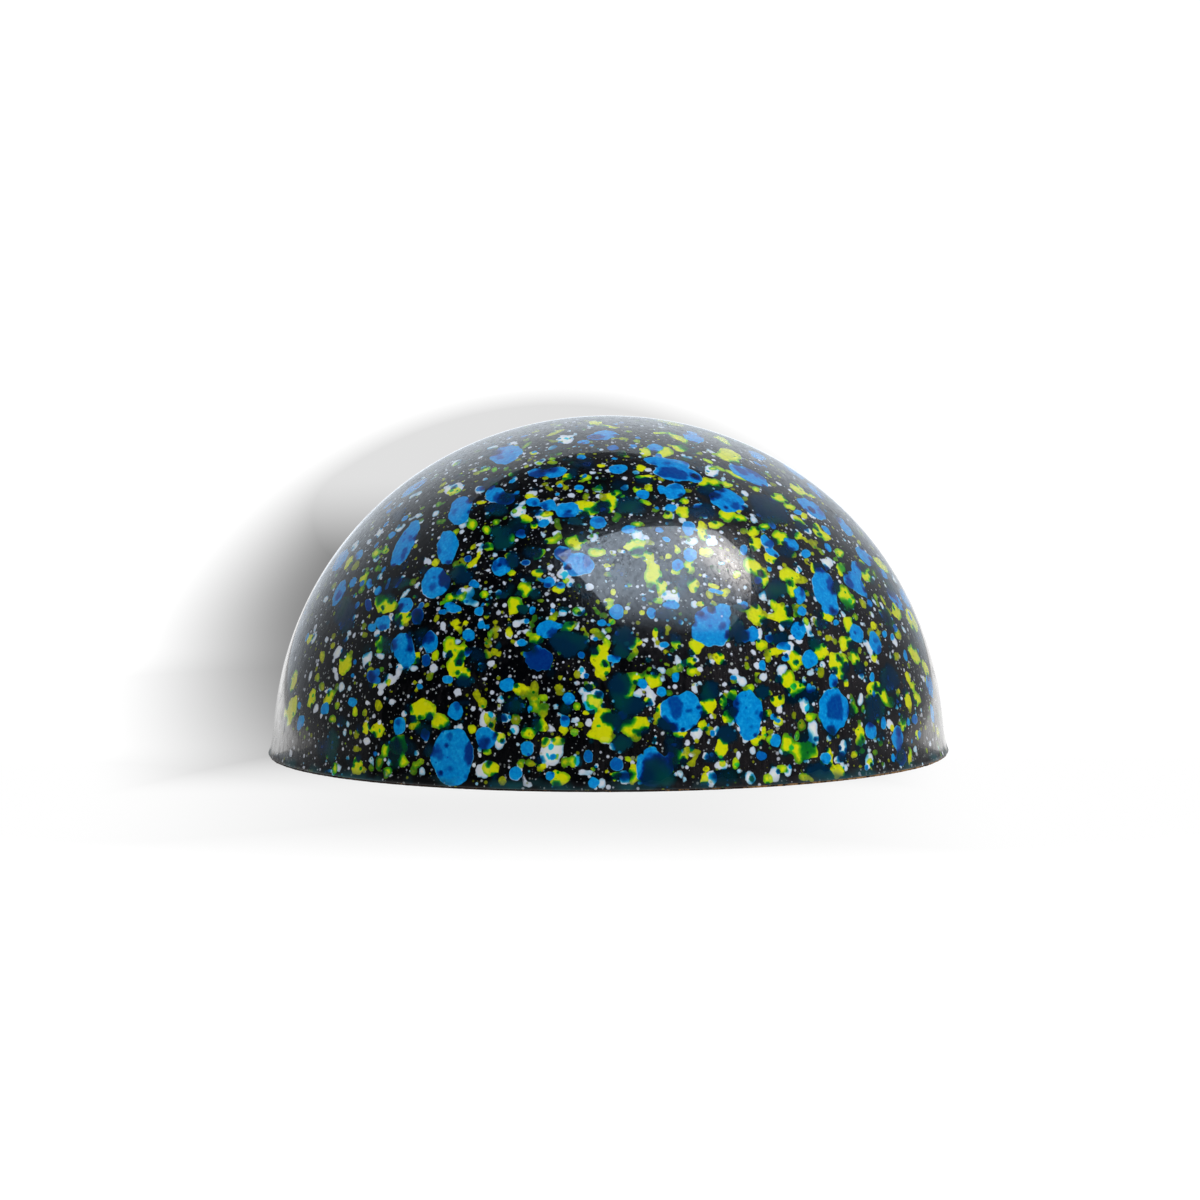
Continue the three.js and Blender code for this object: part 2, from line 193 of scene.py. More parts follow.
YELLOWS = (
    # Left flank
    (-11.8,3.95,.55,.85,-15), (-14.1,3.2,.25,.95,-14), (-14.25,1.85,.45,1.4,-15), (-13.28,2.45,.3,.75,-15),
    (-12.5,2.45,.3,.7,-32), (-11.35,1.8,.2,.4), (-10.85,1.05,.22,.55), (-10.35,1.0,.62,.55,25),
    (-10.45,3.15,.3,.5,-25), (-11.25,-.65,.45,.7), (-10.0,.1,.35,.6), (-12.25,-.7,.2,.5),
    (-9.85,3.15,.25,.3), (-10.0,6.65,.95,.85,-25), (-10.95,7.85,.25,.55,-40), (-11.62,8.5,.2,.6,-30),
    (-10.4,8.9,.25,.45,-30), (-10.0,9.1,.18,.35,-35), (-10.25,4.8,.35,.8), (-9.2,6.05,.65,.6),
    (-13.35,5.1,.2,.45,-25), (-9.85,-.85,.35,.3),
    # Front left, foot
    (-8.35,1.95,1.1,.8), (-6.85,3.9,.75,1.0), (-6.5,3.5,.6,.5), (-9.4,.35,.65,.85), (-7.5,1.4,.75,.6),
    (-9.2,-.4,.4,.5), (-6.1,1.05,.35,.4), (-5.4,.05,.35,.25), (-5.3,-.75,.7,.7), (-5.45,1.55,.25,.4),
    (-4.85,.65,.35,.45),
    # Front left, shoulder
    (-7.1,4.8,.6,.7), (-6.65,4.5,.7,.75), (-7.05,6.95,.5,.35,20), (-7.35,6.72,.4,.12,20),
    (-6.55,6.95,.22,.28), (-6.05,8.5,.2,.55,-50), (-5.8,8.85,.15,.35,-10), (-7.75,8.5,.3,.3),
    (-8.65,4.2,.3,.6,-40), (-7.75,4.35,.25,.45), (-4.45,5.35,.3,.3), (-4.35,8.05,.35,.25),
    (-4.2,6.6,.6,.75,-15), (-5.35,9.2,.45,.35), (-5.57,7.07,.35,.32), (-6.85,5.8,.35,.25), (-6.4,5.8,.2,.2),
    (-6.75,5.55,.25,.2),
    # Left of the crown
    (-6.9,11.7,.6,.3,20), (-6.1,10.2,.45,.45,-30), (-6.25,10.45,.25,.15), (-5.45,9.95,.4,.35),
    (-5.15,12.05,.35,.25), (-5.5,12.68,.35,.15,20), (-5.1,12.65,.25,.3), (-5.7,11.2,.4,.15),
    (-5.05,10.3,.25,.2), (-6.8,12.93,.4,.12,30),
    # Front middle, foot
    (-3.95,2.85,.65,.4), (-2.9,2.45,.35,.3), (-3.0,1.2,.5,.55), (-3.6,.85,.6,.5), (-2.0,1.05,.3,.4),
    (-.2,1.2,1.0,1.45), (-.55,.8,.7,.5), (-.65,2.3,.75,.6), (-1.4,2.05,.25,.3), (-1.0,1.75,.3,.2),
    (-2.3,.5,.4,.35), (-2.8,.5,.3,.3), (-2.3,-.2,.25,.3), (-2.9,-.6,.25,.2), (-1.6,-.4,.3,.45),
    (-2.2,-1.15,.75,.75), (-1.5,.9,.3,.25),
    # Front middle, shoulder
    (-3.75,7.3,.65,.55), (-2.2,7.3,.55,.35), (-3.15,5.1,.35,.4), (-.35,4.2,.7,1.15), (-.1,4.85,.3,.5),
    (-.3,3.7,.6,.6), (-1.4,6.3,.35,.3), (-1.87,7.7,.25,.2), (-3.05,8.9,.55,.25,30), (-3.3,8.7,.15,.15),
    (-1.5,9.4,.9,.55), (-.5,8.95,.75,.42), (-1.55,8.05,.3,.3), (-.05,8.35,.35,.15), (-3.58,5.3,.2,.15),
    (.15,5.85,.25,.2), (.1,6.5,.4,.15), (.2,7.2,.15,.2), (0,6.8,.4,.15), (-2.6,9.45,.45,.2),
    (-3.2,8.05,.5,.28), (-1.8,5.65,.55,.35),
    # Crown, left
    (-.95,10.95,1.05,.65), (-2.8,10.65,.5,.25), (-3.75,10.45,.6,.35), (-3.8,10.95,.2,.15),
    (-4.2,10.8,.25,.2), (-3.55,11.45,.4,.2), (-3.3,10.15,.35,.25), (-1.0,12.3,.45,.22),
    (-1.85,12.35,.4,.25), (-.4,11.85,.2,.25), (-1.3,11.7,.25,.12), (-3.1,12.93,.3,.12), (-3.4,13.4,.3,.15),
    (-4.35,12.45,.25,.15), (-.3,12.83,.35,.15), (-4.35,9.6,.25,.35), (-.6,14.75,.6,.35), (-.1,14.6,.6,.12),
    (-2.55,9.5,.45,.3), (-2.55,13.15,.3,.1),
    # Front right, foot
    (.85,2.75,.45,.65), (1.25,3.35,.55,.4), (2.0,3.2,.6,.6), (3.75,3.65,.38,.4), (1.2,1.2,1.2,.8,15),
    (2.35,1.95,.35,.5), (1.75,2.35,.3,.2), (3.2,.85,.6,.35), (4.2,1.2,.4,.35), (4.45,2.2,.6,.9),
    (5.15,2.25,.3,.4), (5.6,2.55,.3,.5), (5.35,1.6,.45,.55), (3.0,-.15,.65,.7), (5.05,.25,.5,.9),
    (1.1,-1.0,.35,.8), (.85,-.3,.35,.25), (.4,-1.0,.4,.2), (4.3,-1.2,.3,.5), (5.1,-.5,.25,.2),
    (4.4,-.75,.25,.2),
    # Front right, shoulder
    (3.95,4.8,.65,.75), (2.0,8.0,.8,.9), (2.4,7.4,.5,.6), (1.8,8.75,.5,.5,-30), (1.3,9.15,.4,.35),
    (3.8,7.5,.5,.6), (3.6,8.35,.45,.5), (3.0,8.1,.5,.3), (2.2,6.8,.4,.22), (4.1,6.65,.35,.25),
    (4.35,9.0,.6,.35), (3.1,9.05,.2,.25), (2.65,8.75,.2,.2), (2.1,5.35,.25,.4), (1.3,4.95,.45,.25),
    (1.05,4.75,.25,.25), (3.05,4.85,.4,.35), (3.7,4.07,.35,.35), (4.95,4.2,.4,.45), (5.2,7.15,.25,.3),
    (4.7,7.45,.4,.12,-20), (5.75,7.95,.3,.3), (4.7,8.3,.3,.15), (1.5,6.25,.2,.15),
    # Crown, right
    (.1,11.2,.45,.9), (.4,11.6,.35,.3), (1.45,12.72,.45,.25), (1.6,12.35,.75,.12,5), (1.25,11.75,.35,.25),
    (1.8,11.78,.3,.18), (1.65,11.2,.5,.2,-20), (2.7,10.6,.45,.25), (3.4,11.25,.4,.25), (3.35,10.75,.55,.55),
    (2.5,13.45,.8,.4,-5), (1.65,13.45,.6,.3,-10), (3.2,13.65,.75,.3,-10), (3.1,14.1,.9,.2,-25),
    (2.3,14.3,.6,.1), (4.65,12.7,.25,.1), (1.3,10.2,.5,.18), (4.3,12.1,.55,.35,15), (4.45,13.05,.5,.12,-20),
    (4.2,9.9,.4,.9,15), (4.8,10.2,.6,.25), (1.2,9.3,.9,.5), (5.4,13.3,1.1,.55,-22), (5.3,10.65,.7,.6),
    (5.9,10.5,.6,.3,-15), (5.3,12.0,.45,.25,-15), (5.7,12.4,.9,.12,-30), (6.6,11.8,.3,.2),
    (7.65,11.4,.7,.35,-25), (8.1,11.0,.5,.25,-25), (8.75,10.6,.25,.35), (8.5,10.4,.6,.2,-30),
    (9.55,9.75,1.0,.3,-30), (9.3,10.15,.3,.2,-30), (7.7,9.65,.75,.5,-30), (6.5,9.9,.45,.4),
    (6.5,9.35,.4,.45), (6.95,10.1,.45,.25), (8.5,9.7,.3,.4,-30), (8.45,11.8,.8,.3,-35),
    (9.1,11.5,.4,.2,-40), (5.1,14.0,1.0,.2,-35), (5.0,12.7,.35,.12,-30), (4.7,12.1,.5,.3),
    # Right, foot
    (8.35,4.1,.65,.8), (8.05,3.3,.6,.7), (8.4,2.9,.7,.6), (10.3,3.75,.6,.8), (10.15,2.75,.3,.3),
    (10.65,3.1,.15,.3), (6.35,2.9,.35,.3), (6.6,.55,.45,.45), (6.95,.9,.2,.5), (7.55,2.3,.5,.4),
    (7.6,1.4,.35,.4), (9.05,1.55,.45,.4), (7.2,.55,.25,.35), (8.0,.35,.45,.8), (8.75,.1,1.3,.75),
    (8.45,.75,.2,.35), (9.9,-.2,.25,.7), (10.25,-.85,.6,.6), (5.7,-.5,.2,.5), (7.15,-1.2,.45,.4),
    (7.85,-.75,.35,.35), (7.6,-.65,.2,.2), (11.95,2.85,.75,.55), (12.35,2.45,.3,.8,15),
    (13.4,2.35,.28,.8,15), (13.8,2.4,.35,.6,15), (13.4,3.4,.2,.45,15), (13.6,2.95,.2,.4,10),
    (13.2,1.35,.2,.65,5), (12.7,1.1,.15,.3), (11.7,-.4,.25,.35), (13.82,.8,.15,.4,5),
    (11.05,1.95,.2,.35,15), (11.1,4.2,.3,.35), (13.5,-.2,.12,.7,-5), (14.2,3.75,.25,.7,20),
    (11.25,.9,.4,.5),
    # Right, shoulder
    (6.6,9.35,.5,.45,-25), (7.8,9.5,.6,.35), (7.25,8.7,.6,.4,-30), (6.45,8.3,.6,1.0,30), (6.95,7.75,.4,.7),
    (8.1,7.9,.9,.6), (8.2,7.3,.45,.8,15), (6.6,6.15,.75,.8), (7.7,6.2,.65,.75), (7.4,6.6,.25,.5,15),
    (7.3,6.1,.35,.25), (8.1,5.95,.35,.25), (9.8,6.1,.65,.4,-35), (6.85,4.8,.5,.45), (7.45,4.5,.5,.3),
    (7.85,4.6,.3,.2), (9.5,4.5,.6,.75,15), (10.05,4.25,.35,.4), (10.3,4.0,.8,.8), (10.55,4.9,.45,.65,15),
    (10.6,7.0,.5,1.0,30), (10.8,6.8,.6,.6), (10.75,5.75,.45,.75), (10.9,5.2,.3,.5), (10.35,8.9,.3,.45,35),
    (10.4,8.2,.35,.5,25), (9.15,8.25,.2,.45,15), (11.0,4.25,.35,.65,15), (11.55,7.95,.35,.7,25),
    (11.35,8.45,.15,.35,30), (12.2,8.4,.25,.9,40), (12.9,6.3,.35,.7,25), (13.6,5.9,.3,1.2,25),
    (12.7,5.75,.2,.5,20), (11.85,5.7,.2,.3,20), (11.9,4.25,.25,.35), (13.7,4.4,.35,.95,20),
    (8.85,5.85,.2,.35,20),
)

OLIVES = (
    # Thin yellow, which lets the dark chocolate through
    (-8.65,1.2,.5,.35), (-4.15,1.5,.45,.45), (-5.65,2.2,.3,.45), (-5.9,2.6,.3,.4), (-8.0,3.4,.25,.35),
    (-8.6,-.55,.35,.25), (-4.75,-1.25,.35,.4), (-9.9,-.95,.3,.4), (-3.3,2.85,.35,.6), (-3.35,2.45,.45,.4),
    (-3.3,2.1,.35,.45), (-2.95,1.75,.35,.4), (-2.85,2.1,.25,.25), (-3.05,-.7,.3,.35),
    (-3.45,-.5,.45,.25,-20), (-1.95,-.45,.4,.5), (-1.3,1.25,.3,.25), (-2.2,2.9,.35,.3), (-.7,2.95,.2,.2),
    (2.7,3.6,.3,.25), (3.2,3.8,.3,.35), (1.2,.7,.45,.4), (2.2,1.6,.25,.3), (2.7,2.65,.25,.2),
    (4.55,.95,.35,.35), (3.5,.1,.4,.3), (3.9,0,.4,.25), (2.8,.5,.3,.2), (3.7,-.5,.3,.2), (9.5,3.6,.3,.45),
    (7.15,1.75,.3,.3), (8.65,1.2,.35,.4), (8.3,1.65,.15,.3), (8.75,-1.1,.5,.3), (-12.83,2.93,.2,.3),
    (-12.15,2.1,.2,.35,-10), (-12.35,1.5,.3,.35), (-11.3,.8,.2,.35), (-11.55,.9,.15,.25),
    (-10.3,2.1,.3,.45), (-10.95,-.8,.2,.3), (-10.25,-.4,.3,.5,-20), (-10.6,-.7,.2,.35), (-13.3,-.8,.3,.15),
    (-10.95,7.55,.2,.4,-30), (-11.05,7.3,.15,.35,-35), (-11.3,8.35,.2,.5,-30), (-10.35,8.25,.15,.28,-35),
    (-12.3,7.45,.15,.3,-30), (-13.0,7.0,.12,.3,-20), (-12.82,4.3,.22,.45,-10), (-10.95,5.65,.15,.28,-20),
    (-10.9,5.25,.18,.15), (-9.35,5.2,.15,.25), (-9.6,4.85,.15,.3), (-6.35,7.4,.3,.12,20),
    (-6.85,8.4,.15,.2), (-6.5,8.4,.2,.18), (-5.3,5.3,.2,.3), (-5.1,5.45,.35,.2), (-5.05,5.2,.15,.25),
    (-4.95,5.55,.25,.15), (-5.4,4.85,.25,.3), (-5.4,4.35,.25,.35), (-5.1,4.5,.3,.25), (-4.9,4.4,.25,.25),
    (-5.7,3.85,.15,.2), (-5.45,6.05,.2,.15), (-7.45,3.85,.15,.15), (-7.7,6.0,.2,.35,-30),
    (-4.4,7.72,.15,.15), (-7.4,12.0,.1,.4,-55), (-7.6,11.12,.15,.25,-50), (-9.15,11.5,.2,.3,-40),
    (-2.35,6.2,.2,.2), (-2.5,6.0,.35,.3), (-.6,5.45,.35,.2), (-.4,5.2,.35,.3), (-1.0,5.2,.2,.3),
    (-4.25,4.95,.25,.2), (-3.4,5.65,.2,.15), (-1.0,6.2,.12,.12), (-1.15,5.5,.15,.15), (-3.05,6.8,.25,.15),
    (-2.2,12.05,.3,.15), (-.2,11.4,.5,.35), (-1.0,11.45,.25,.3), (-2.65,11.35,.25,.1),
    (-2.6,11.8,.12,.3,25), (-1.9,11.85,.2,.15), (-2.5,12.98,.4,.12), (-3.65,13.75,.45,.12,35),
    (-4.6,12.7,.25,.15,30), (-.4,12.5,.2,.08), (-5.05,10.3,.25,.18), (-4.6,10.5,.15,.1),
    (-2.4,14.3,.8,.15,20), (1.2,4.45,.2,.3), (3.75,3.65,.35,.35), (2.75,3.6,.3,.25), (2.6,3.95,.25,.1),
    (1.85,3.75,.2,.15), (1.5,3.95,.15,.15), (2.55,4.5,.12,.15), (1.0,4.35,.15,.15), (.6,13.4,.35,.35),
    (.3,10.45,.3,.25), (3.35,12.9,.2,.3), (2.1,10.85,.3,.15), (3.3,11.6,.15,.12), (2.8,14.75,1.1,.15,-12),
    (6.05,9.9,.3,.25), (7.35,10.2,.35,.12,-45), (9.15,9.35,.2,.45,25), (6.1,11.35,.2,.25),
    (6.15,10.9,.2,.15), (8.6,7.7,.5,.3), (8.55,6.55,.65,.25,-5), (9.3,5.75,.2,.35,30), (9.85,5.1,.3,.25),
    (8.85,8.6,.25,.2), (8.3,8.85,.15,.3,30), (10.15,8.65,.2,.2), (7.15,4.25,.25,.35), (9.2,9.3,.2,.3),
    (11.9,8.0,.1,.4,20), (12.3,6.8,.12,.5,30), (12.55,6.3,.15,.3,25), (11.4,6.65,.2,.5,25),
    (11.7,5.4,.25,.35), (12.07,5.35,.18,.2), (11.05,6.05,.25,.3), (11.25,4.55,.15,.3),
    (12.95,5.3,.25,.5,25), (12.9,4.3,.4,.35,-30), (12.6,2.25,.35,.5,20), (11.4,.55,.15,.3),
    (11.35,.05,.15,.3), (11.0,-.1,.3,.3), (11.4,1.95,.15,.35), (10.87,2.5,.15,.25), (12.95,2.65,.12,.3),
    (14.75,.9,.12,.5,8), (10.95,2.2,.2,.4),
)

BLUES = (
    # Bright blue, with its backing
    (-11.48,2.25,.38,.42), (-12.68,1.97,.32,.5,-15), (-13.78,1.35,.3,.65,-12), (-12.0,8.6,.35,1.15,-35),
    (-12.05,7.15,.4,1.2,-27), (-11.45,7.6,.25,.45,-25), (-11.15,8.85,.25,.45,-30), (-10.7,7.55,.25,.45,-20),
    (-10.3,7.25,.28,.5,-30), (-9.15,9.25,.7,1.9,-30), (-8.75,9.95,.5,.9,-15), (-10.1,5.8,.65,.6,20),
    (-10.6,5.6,.35,.35), (-9.1,6.6,.55,.65,-10), (-9.7,9.73,.22,.45,-45), (-8.7,11.85,.25,1.3,-55),
    (-7.0,-.2,1.85,2.5), (-5.5,.65,.85,.95), (-6.85,1.85,.6,.7), (-9.35,1.2,.5,.75), (-4.55,3.0,.6,.55),
    (-4.15,-.95,.45,.5), (-7.2,3.25,.4,.3), (-9.15,4.6,.95,1.45,10), (-8.0,4.95,.6,.88),
    (-7.75,7.6,1.25,1.3), (-7.2,9.2,.88,1.5,-10), (-6.98,6.52,.75,.36,-20), (-6.25,5.25,.55,.5),
    (-5.8,6.3,.35,.35), (-5.7,5.7,.22,.3), (-4.8,8.3,.72,.85), (-5.9,7.5,.18,.2), (-6.05,7.62,.12,.15),
    (-6.65,10.85,.85,1.35,-30), (-5.1,11.55,.75,.72), (-4.6,13.35,1.4,.75,18), (-2.4,12.55,1.0,.42,8),
    (-3.2,12.5,.8,.38,5), (-1.85,10.85,1.05,.65), (-2.65,11.05,.5,.45), (-3.4,11.2,.5,.35),
    (-2.9,10.25,.42,.28), (-.45,10.3,.7,.5), (-3.93,9.77,.4,.4), (-1.3,11.85,.4,.2), (-1.22,13.22,.4,.18),
    (-.25,14.2,1.3,.42,6), (-1.1,13.9,.5,.15), (-4.3,12.15,.35,.15,25), (-2.3,11.57,.18,.1),
    (-1.75,2.4,.55,.55), (-1.95,1.4,.35,.5), (-3.65,.15,.6,.65), (-.65,-1.35,.45,.5), (-2.75,5.5,.95,.8),
    (-2.25,5.65,.35,.2), (-3.2,4.7,.3,.25), (-3.4,6.35,.3,.45), (-2.7,7.6,.42,.48), (-2.1,7.5,.32,.25),
    (-1.35,8.45,1.2,1.0), (-2.05,8.9,.8,.6), (-3.87,4.9,.35,.3), (-.3,5.8,.3,.28), (.35,6.3,.6,.65),
    (1.5,3.1,.35,.4), (2.4,2.75,.4,.45), (3.0,3.35,.35,.4), (3.3,1.85,1.7,1.75), (1.9,0,.6,.5),
    (1.5,-.6,.5,1.1), (4.6,5.6,1.65,1.7), (5.1,6.3,.75,.85), (2.8,6.6,.75,.35), (3.65,8.85,.6,.55),
    (3.1,8.4,.5,.45), (1.92,6.25,.35,.4), (2.5,4.8,.4,.2), (.35,4.15,.3,.3), (4.8,7.2,.6,.2,-15),
    (6.05,9.05,.35,.45), (.45,12.7,.75,.36), (2.6,13.0,1.9,.36,-8), (2.9,12.55,1.7,.7,-10),
    (3.75,12.35,.85,.42,-20), (2.95,11.7,.95,.65), (2.4,11.75,.36,.42), (1.55,11.55,.55,.35),
    (2.8,10.95,.5,.3), (2.1,13.65,.7,.3,-10), (.9,10.0,.65,.38), (3.6,10.0,.5,.6), (5.3,11.3,1.6,.85,-22),
    (3.8,14.1,1.0,.5,-25), (2.6,9.55,.3,.15,-30), (.3,13.15,.3,.15), (6.3,12.42,1.85,.52,-28),
    (7.0,9.5,.35,.5,15), (8.2,9.3,.7,.42,-40), (9.1,10.95,1.5,.48,-38), (8.5,10.75,.35,.2),
    (6.65,13.3,.8,.3,-30), (8.3,12.6,1.3,.22,-38), (9.3,11.7,1.0,.2,-42), (10.6,10.1,.3,1.0,40),
    (9.75,9.95,.15,.5,45), (6.25,1.8,1.25,1.9), (6.3,.95,.7,.8), (6.9,3.9,.3,.38), (9.0,4.18,.62,.82),
    (10.05,3.2,.35,.5), (9.0,2.85,.25,.4), (10.1,1.85,1.35,1.85), (7.5,.5,.45,.55), (7.35,1.6,.15,.2),
    (9.7,-.25,.45,.45), (12.95,.65,.48,.95), (11.8,3.35,.2,.35), (12.3,1.3,.2,.5), (11.75,.95,.45,.65,20),
    (14.4,2.95,.25,.95,12), (14.5,1.75,.15,.8,8), (13.42,1.35,.12,.3), (12.75,-.25,.15,.35),
    (6.45,5.3,.5,.55), (8.5,5.45,.6,.75), (9.7,7.3,.9,2.0,17), (9.95,6.5,.65,.7), (8.55,7.05,.45,.72,15),
    (8.85,8.9,.4,.3), (7.35,8.95,.6,.25,-30), (8.65,6.3,.35,.32), (7.2,8.2,.15,.15), (9.85,9.15,.2,.5,35),
    (6.65,7.7,.35,.3), (6.1,6.6,.25,.3), (7.8,4.75,.5,.25), (7.9,4.2,.3,.15), (10.2,5.8,.2,.15),
    (11.1,5.3,.55,.76,15), (11.15,7.55,.45,1.25,30), (10.8,7.65,.4,.7,35), (11.1,8.2,.35,.75,15),
    (11.5,8.75,.38,1.05,42), (12.3,8.0,.2,.6,40), (12.85,6.85,.3,1.1,35), (13.3,6.9,.3,1.0,30),
    (11.95,4.9,.48,.95,15), (12.35,5.3,.2,.3), (13.3,4.3,.15,.4,15), (12.7,5.15,.12,.25),
    # Deeper blue all over: the last number is the depth
    (-3.1,4.15,1.25,.95,0,3.2), (-8.55,6.1,.5,.7,0,3), (-10.6,3.4,.4,.5,0,2.2), (-8.15,4.1,.35,.5,0,2.5),
    (13.1,-.2,.45,.7,0,3.4), (-3.7,8.5,.3,.2,0,2.5), (-6.3,8.65,.25,.2,0,2.5), (-10.75,6.6,.2,.5,0,2.8),
    (7.2,9.35,.4,.3,0,2.3), (-1.2,4.35,.25,.25,0,1.8), (-.9,-.2,.35,.5,0,1.7), (.35,-.55,.5,.45,0,1.7),
    (.6,1.65,.35,.3,0,2.4), (-8.2,.8,.4,.55,0,1.6), (6.85,-.15,.4,.35,0,1.7), (2.1,-.75,1.6,1.3,0,3.4),
    (-4.6,11.35,.8,.45,0,3.2), (-1.0,3.4,.2,.2,0,2), (-11.9,5.65,.12,.35,-35,2),
    (-11.25,6.6,.12,.3,-25,1.7), (-8.35,6.6,.18,.2,0,1.9), (-7.4,6.3,.3,.15,0,1.5),
    (-3.75,4.4,.15,.25,0,1.6), (-11.35,4.05,.12,.2,0,1.6), (-10.35,3.6,.25,.3,0,1.6),
    (7.3,10.2,.5,.25,-50,1.8), (.4,5.35,.15,.15,0,1.6), (.2,13.65,.5,.22,0,1.8), (-.95,12.9,.25,.15,0,2),
    (13.72,1.5,.25,.35,0,1.6), (7.2,5.1,.3,.3,0,2), (6.1,5.2,.35,.45,0,2.2),
)

TEALS = (
    # Thin film of the same blue
    (-6.1,3.2,.3,.3), (-.75,1.9,.45,.4), (-1.0,2.1,.3,.4), (-4.3,.95,.3,.3), (-1.35,-.4,.35,.55),
    (4.55,-1.1,.2,.3), (9.0,1.95,.35,.4), (7.65,-.85,.15,.15), (-5.25,1.7,.25,.3), (-2.55,.25,.22,.25),
    (-2.7,-.2,.15,.4,25), (-1.95,8.0,.36,.32), (-2.0,6.4,.45,.25), (3.4,4.0,.3,.4), (5.7,4.8,.22,.22),
    (8.35,8.45,.3,.25), (-9.9,2.4,.15,.2), (-12.0,-1.02,.9,.2,-8), (-10.9,-1.15,1.0,.15,-5),
    (6.75,6.1,.15,.15), (-.95,10.9,.3,.12), (-6.85,4.55,.18,.18), (8.2,.2,.25,.25), (8.95,.25,.2,.2),
    (8.3,2.95,.3,.4), (5.8,10.45,.2,.12), (-6.45,6.75,.3,.12,20), (-4.15,5.78,.12,.12), (-3.9,10.75,.12,.1),
    (-1.2,3.7,.25,.3), (1.4,5.0,.2,.15), (-1.55,8.05,.1,.2), (-1.9,14.05,.25,.1), (2.75,6.75,.4,.2),
    (-10.45,4.4,.1,.25), (-4.75,2.45,.15,.2),
)

SPOTS = (
    # Deeper places in the bright blue: the last number is their own depth
    (-7.1,.7,.25,.45,0,1.2), (-7.6,-.1,.5,.6,0,.9), (-7.05,-.75,.3,.3,0,.8), (-7.55,-.95,.3,.4,0,.7),
    (-6.35,-1.15,.25,.3,0,.8), (-6.2,0,.5,1.3,0,1.8), (-5.4,.5,.25,.3,0,1), (-6.75,2.1,.35,.5,0,1),
    (-9.4,1.35,.25,.4,0,1.4), (-1.95,1.55,.35,.3,0,1.8), (3.0,2.05,.65,1.1,20,1.2), (6.65,1.75,.3,.25,0,.8),
    (6.4,1.1,.15,.15,0,1), (6.3,1.5,.1,.1,0,1), (10.15,2.0,.75,1.25,0,1.2), (-9.15,8.9,.25,.7,-25,1.0),
    (-8.85,9.6,.2,.35,0,1), (-13.72,1.15,.2,.25,0,.9), (-10.1,5.6,.4,.35,0,.9), (-8.85,4.85,.35,.75,5,1.3),
    (-9.05,4.3,.12,.12,0,.7), (-8.05,5.15,.6,.6,0,1.6), (-7.2,7.75,.85,1.0,0,2.6), (-7.6,9.0,.25,.4,0,.7),
    (-4.7,8.6,.5,.55,0,1.3), (-6.75,6.75,.5,.3,0,.7), (-5.0,11.4,.4,.5,0,1.2), (-4.85,13.2,.4,.2,15,.8),
    (-3.2,12.45,.8,.35,5,1.6), (-1.8,10.6,.6,.25,0,1.0), (-2.85,11.0,.3,.45,0,1.6),
    (-3.3,11.15,.25,.25,0,1.4), (-.4,10.38,.5,.25,0,.8), (-3.95,9.75,.2,.2,0,.6), (-2.45,5.3,.65,.55,0,1.4),
    (-2.85,5.7,.12,.12,0,.8), (-3.35,6.25,.25,.3,0,1.0), (-2.75,7.45,.45,.3,0,1.6), (-2.1,8.9,.7,.55,0,1.4),
    (-.95,8.6,.4,.7,0,.9), (5.12,5.65,.36,.4,0,1.2), (4.3,6.1,.6,.35,0,.6), (3.8,5.85,.35,.5,0,1.2),
    (3.15,8.35,.15,.3,0,.8), (2.9,12.5,1.4,.55,-12,1.3), (2.0,12.9,.4,.25,0,.7), (2.6,12.95,.5,.15,0,.9),
    (3.0,11.9,.6,.25,0,.6), (1.5,11.45,.35,.15,0,.6), (5.7,11.05,.5,.35,0,1.2), (5.3,11.3,.5,.2,-20,.4),
    (5.95,12.6,.8,.25,-30,1.2), (6.9,12.3,.4,.3,0,.9), (7.05,9.35,.2,.25,0,.9), (12.98,.95,.28,.45,0,1.3),
    (10.8,7.55,.35,.6,35,1.3), (9.95,7.5,.35,.95,8,1.2), (9.75,8.15,.6,.28,0,1.5),
    (8.68,7.15,.25,.4,15,1.2), (11.05,5.35,.12,.16,0,1.4), (12.15,4.55,.25,.42,10,1.1),
    (11.98,5.0,.28,.3,0,1.1), (11.4,7.35,.12,.6,30,.7), (2.0,-.1,.5,.25,0,1.2), (7.8,4.8,.3,.15,0,.8),
    (8.5,5.3,.2,.2,0,.4), (9.05,4.05,.2,.2,0,.3), (12.85,6.9,.15,.6,35,.8), (-6.9,10.75,.2,.4,-30,.5),
    (-6.5,11.1,.12,.12,0,.5), (-12.1,7.0,.25,.5,-27,1.1),
)

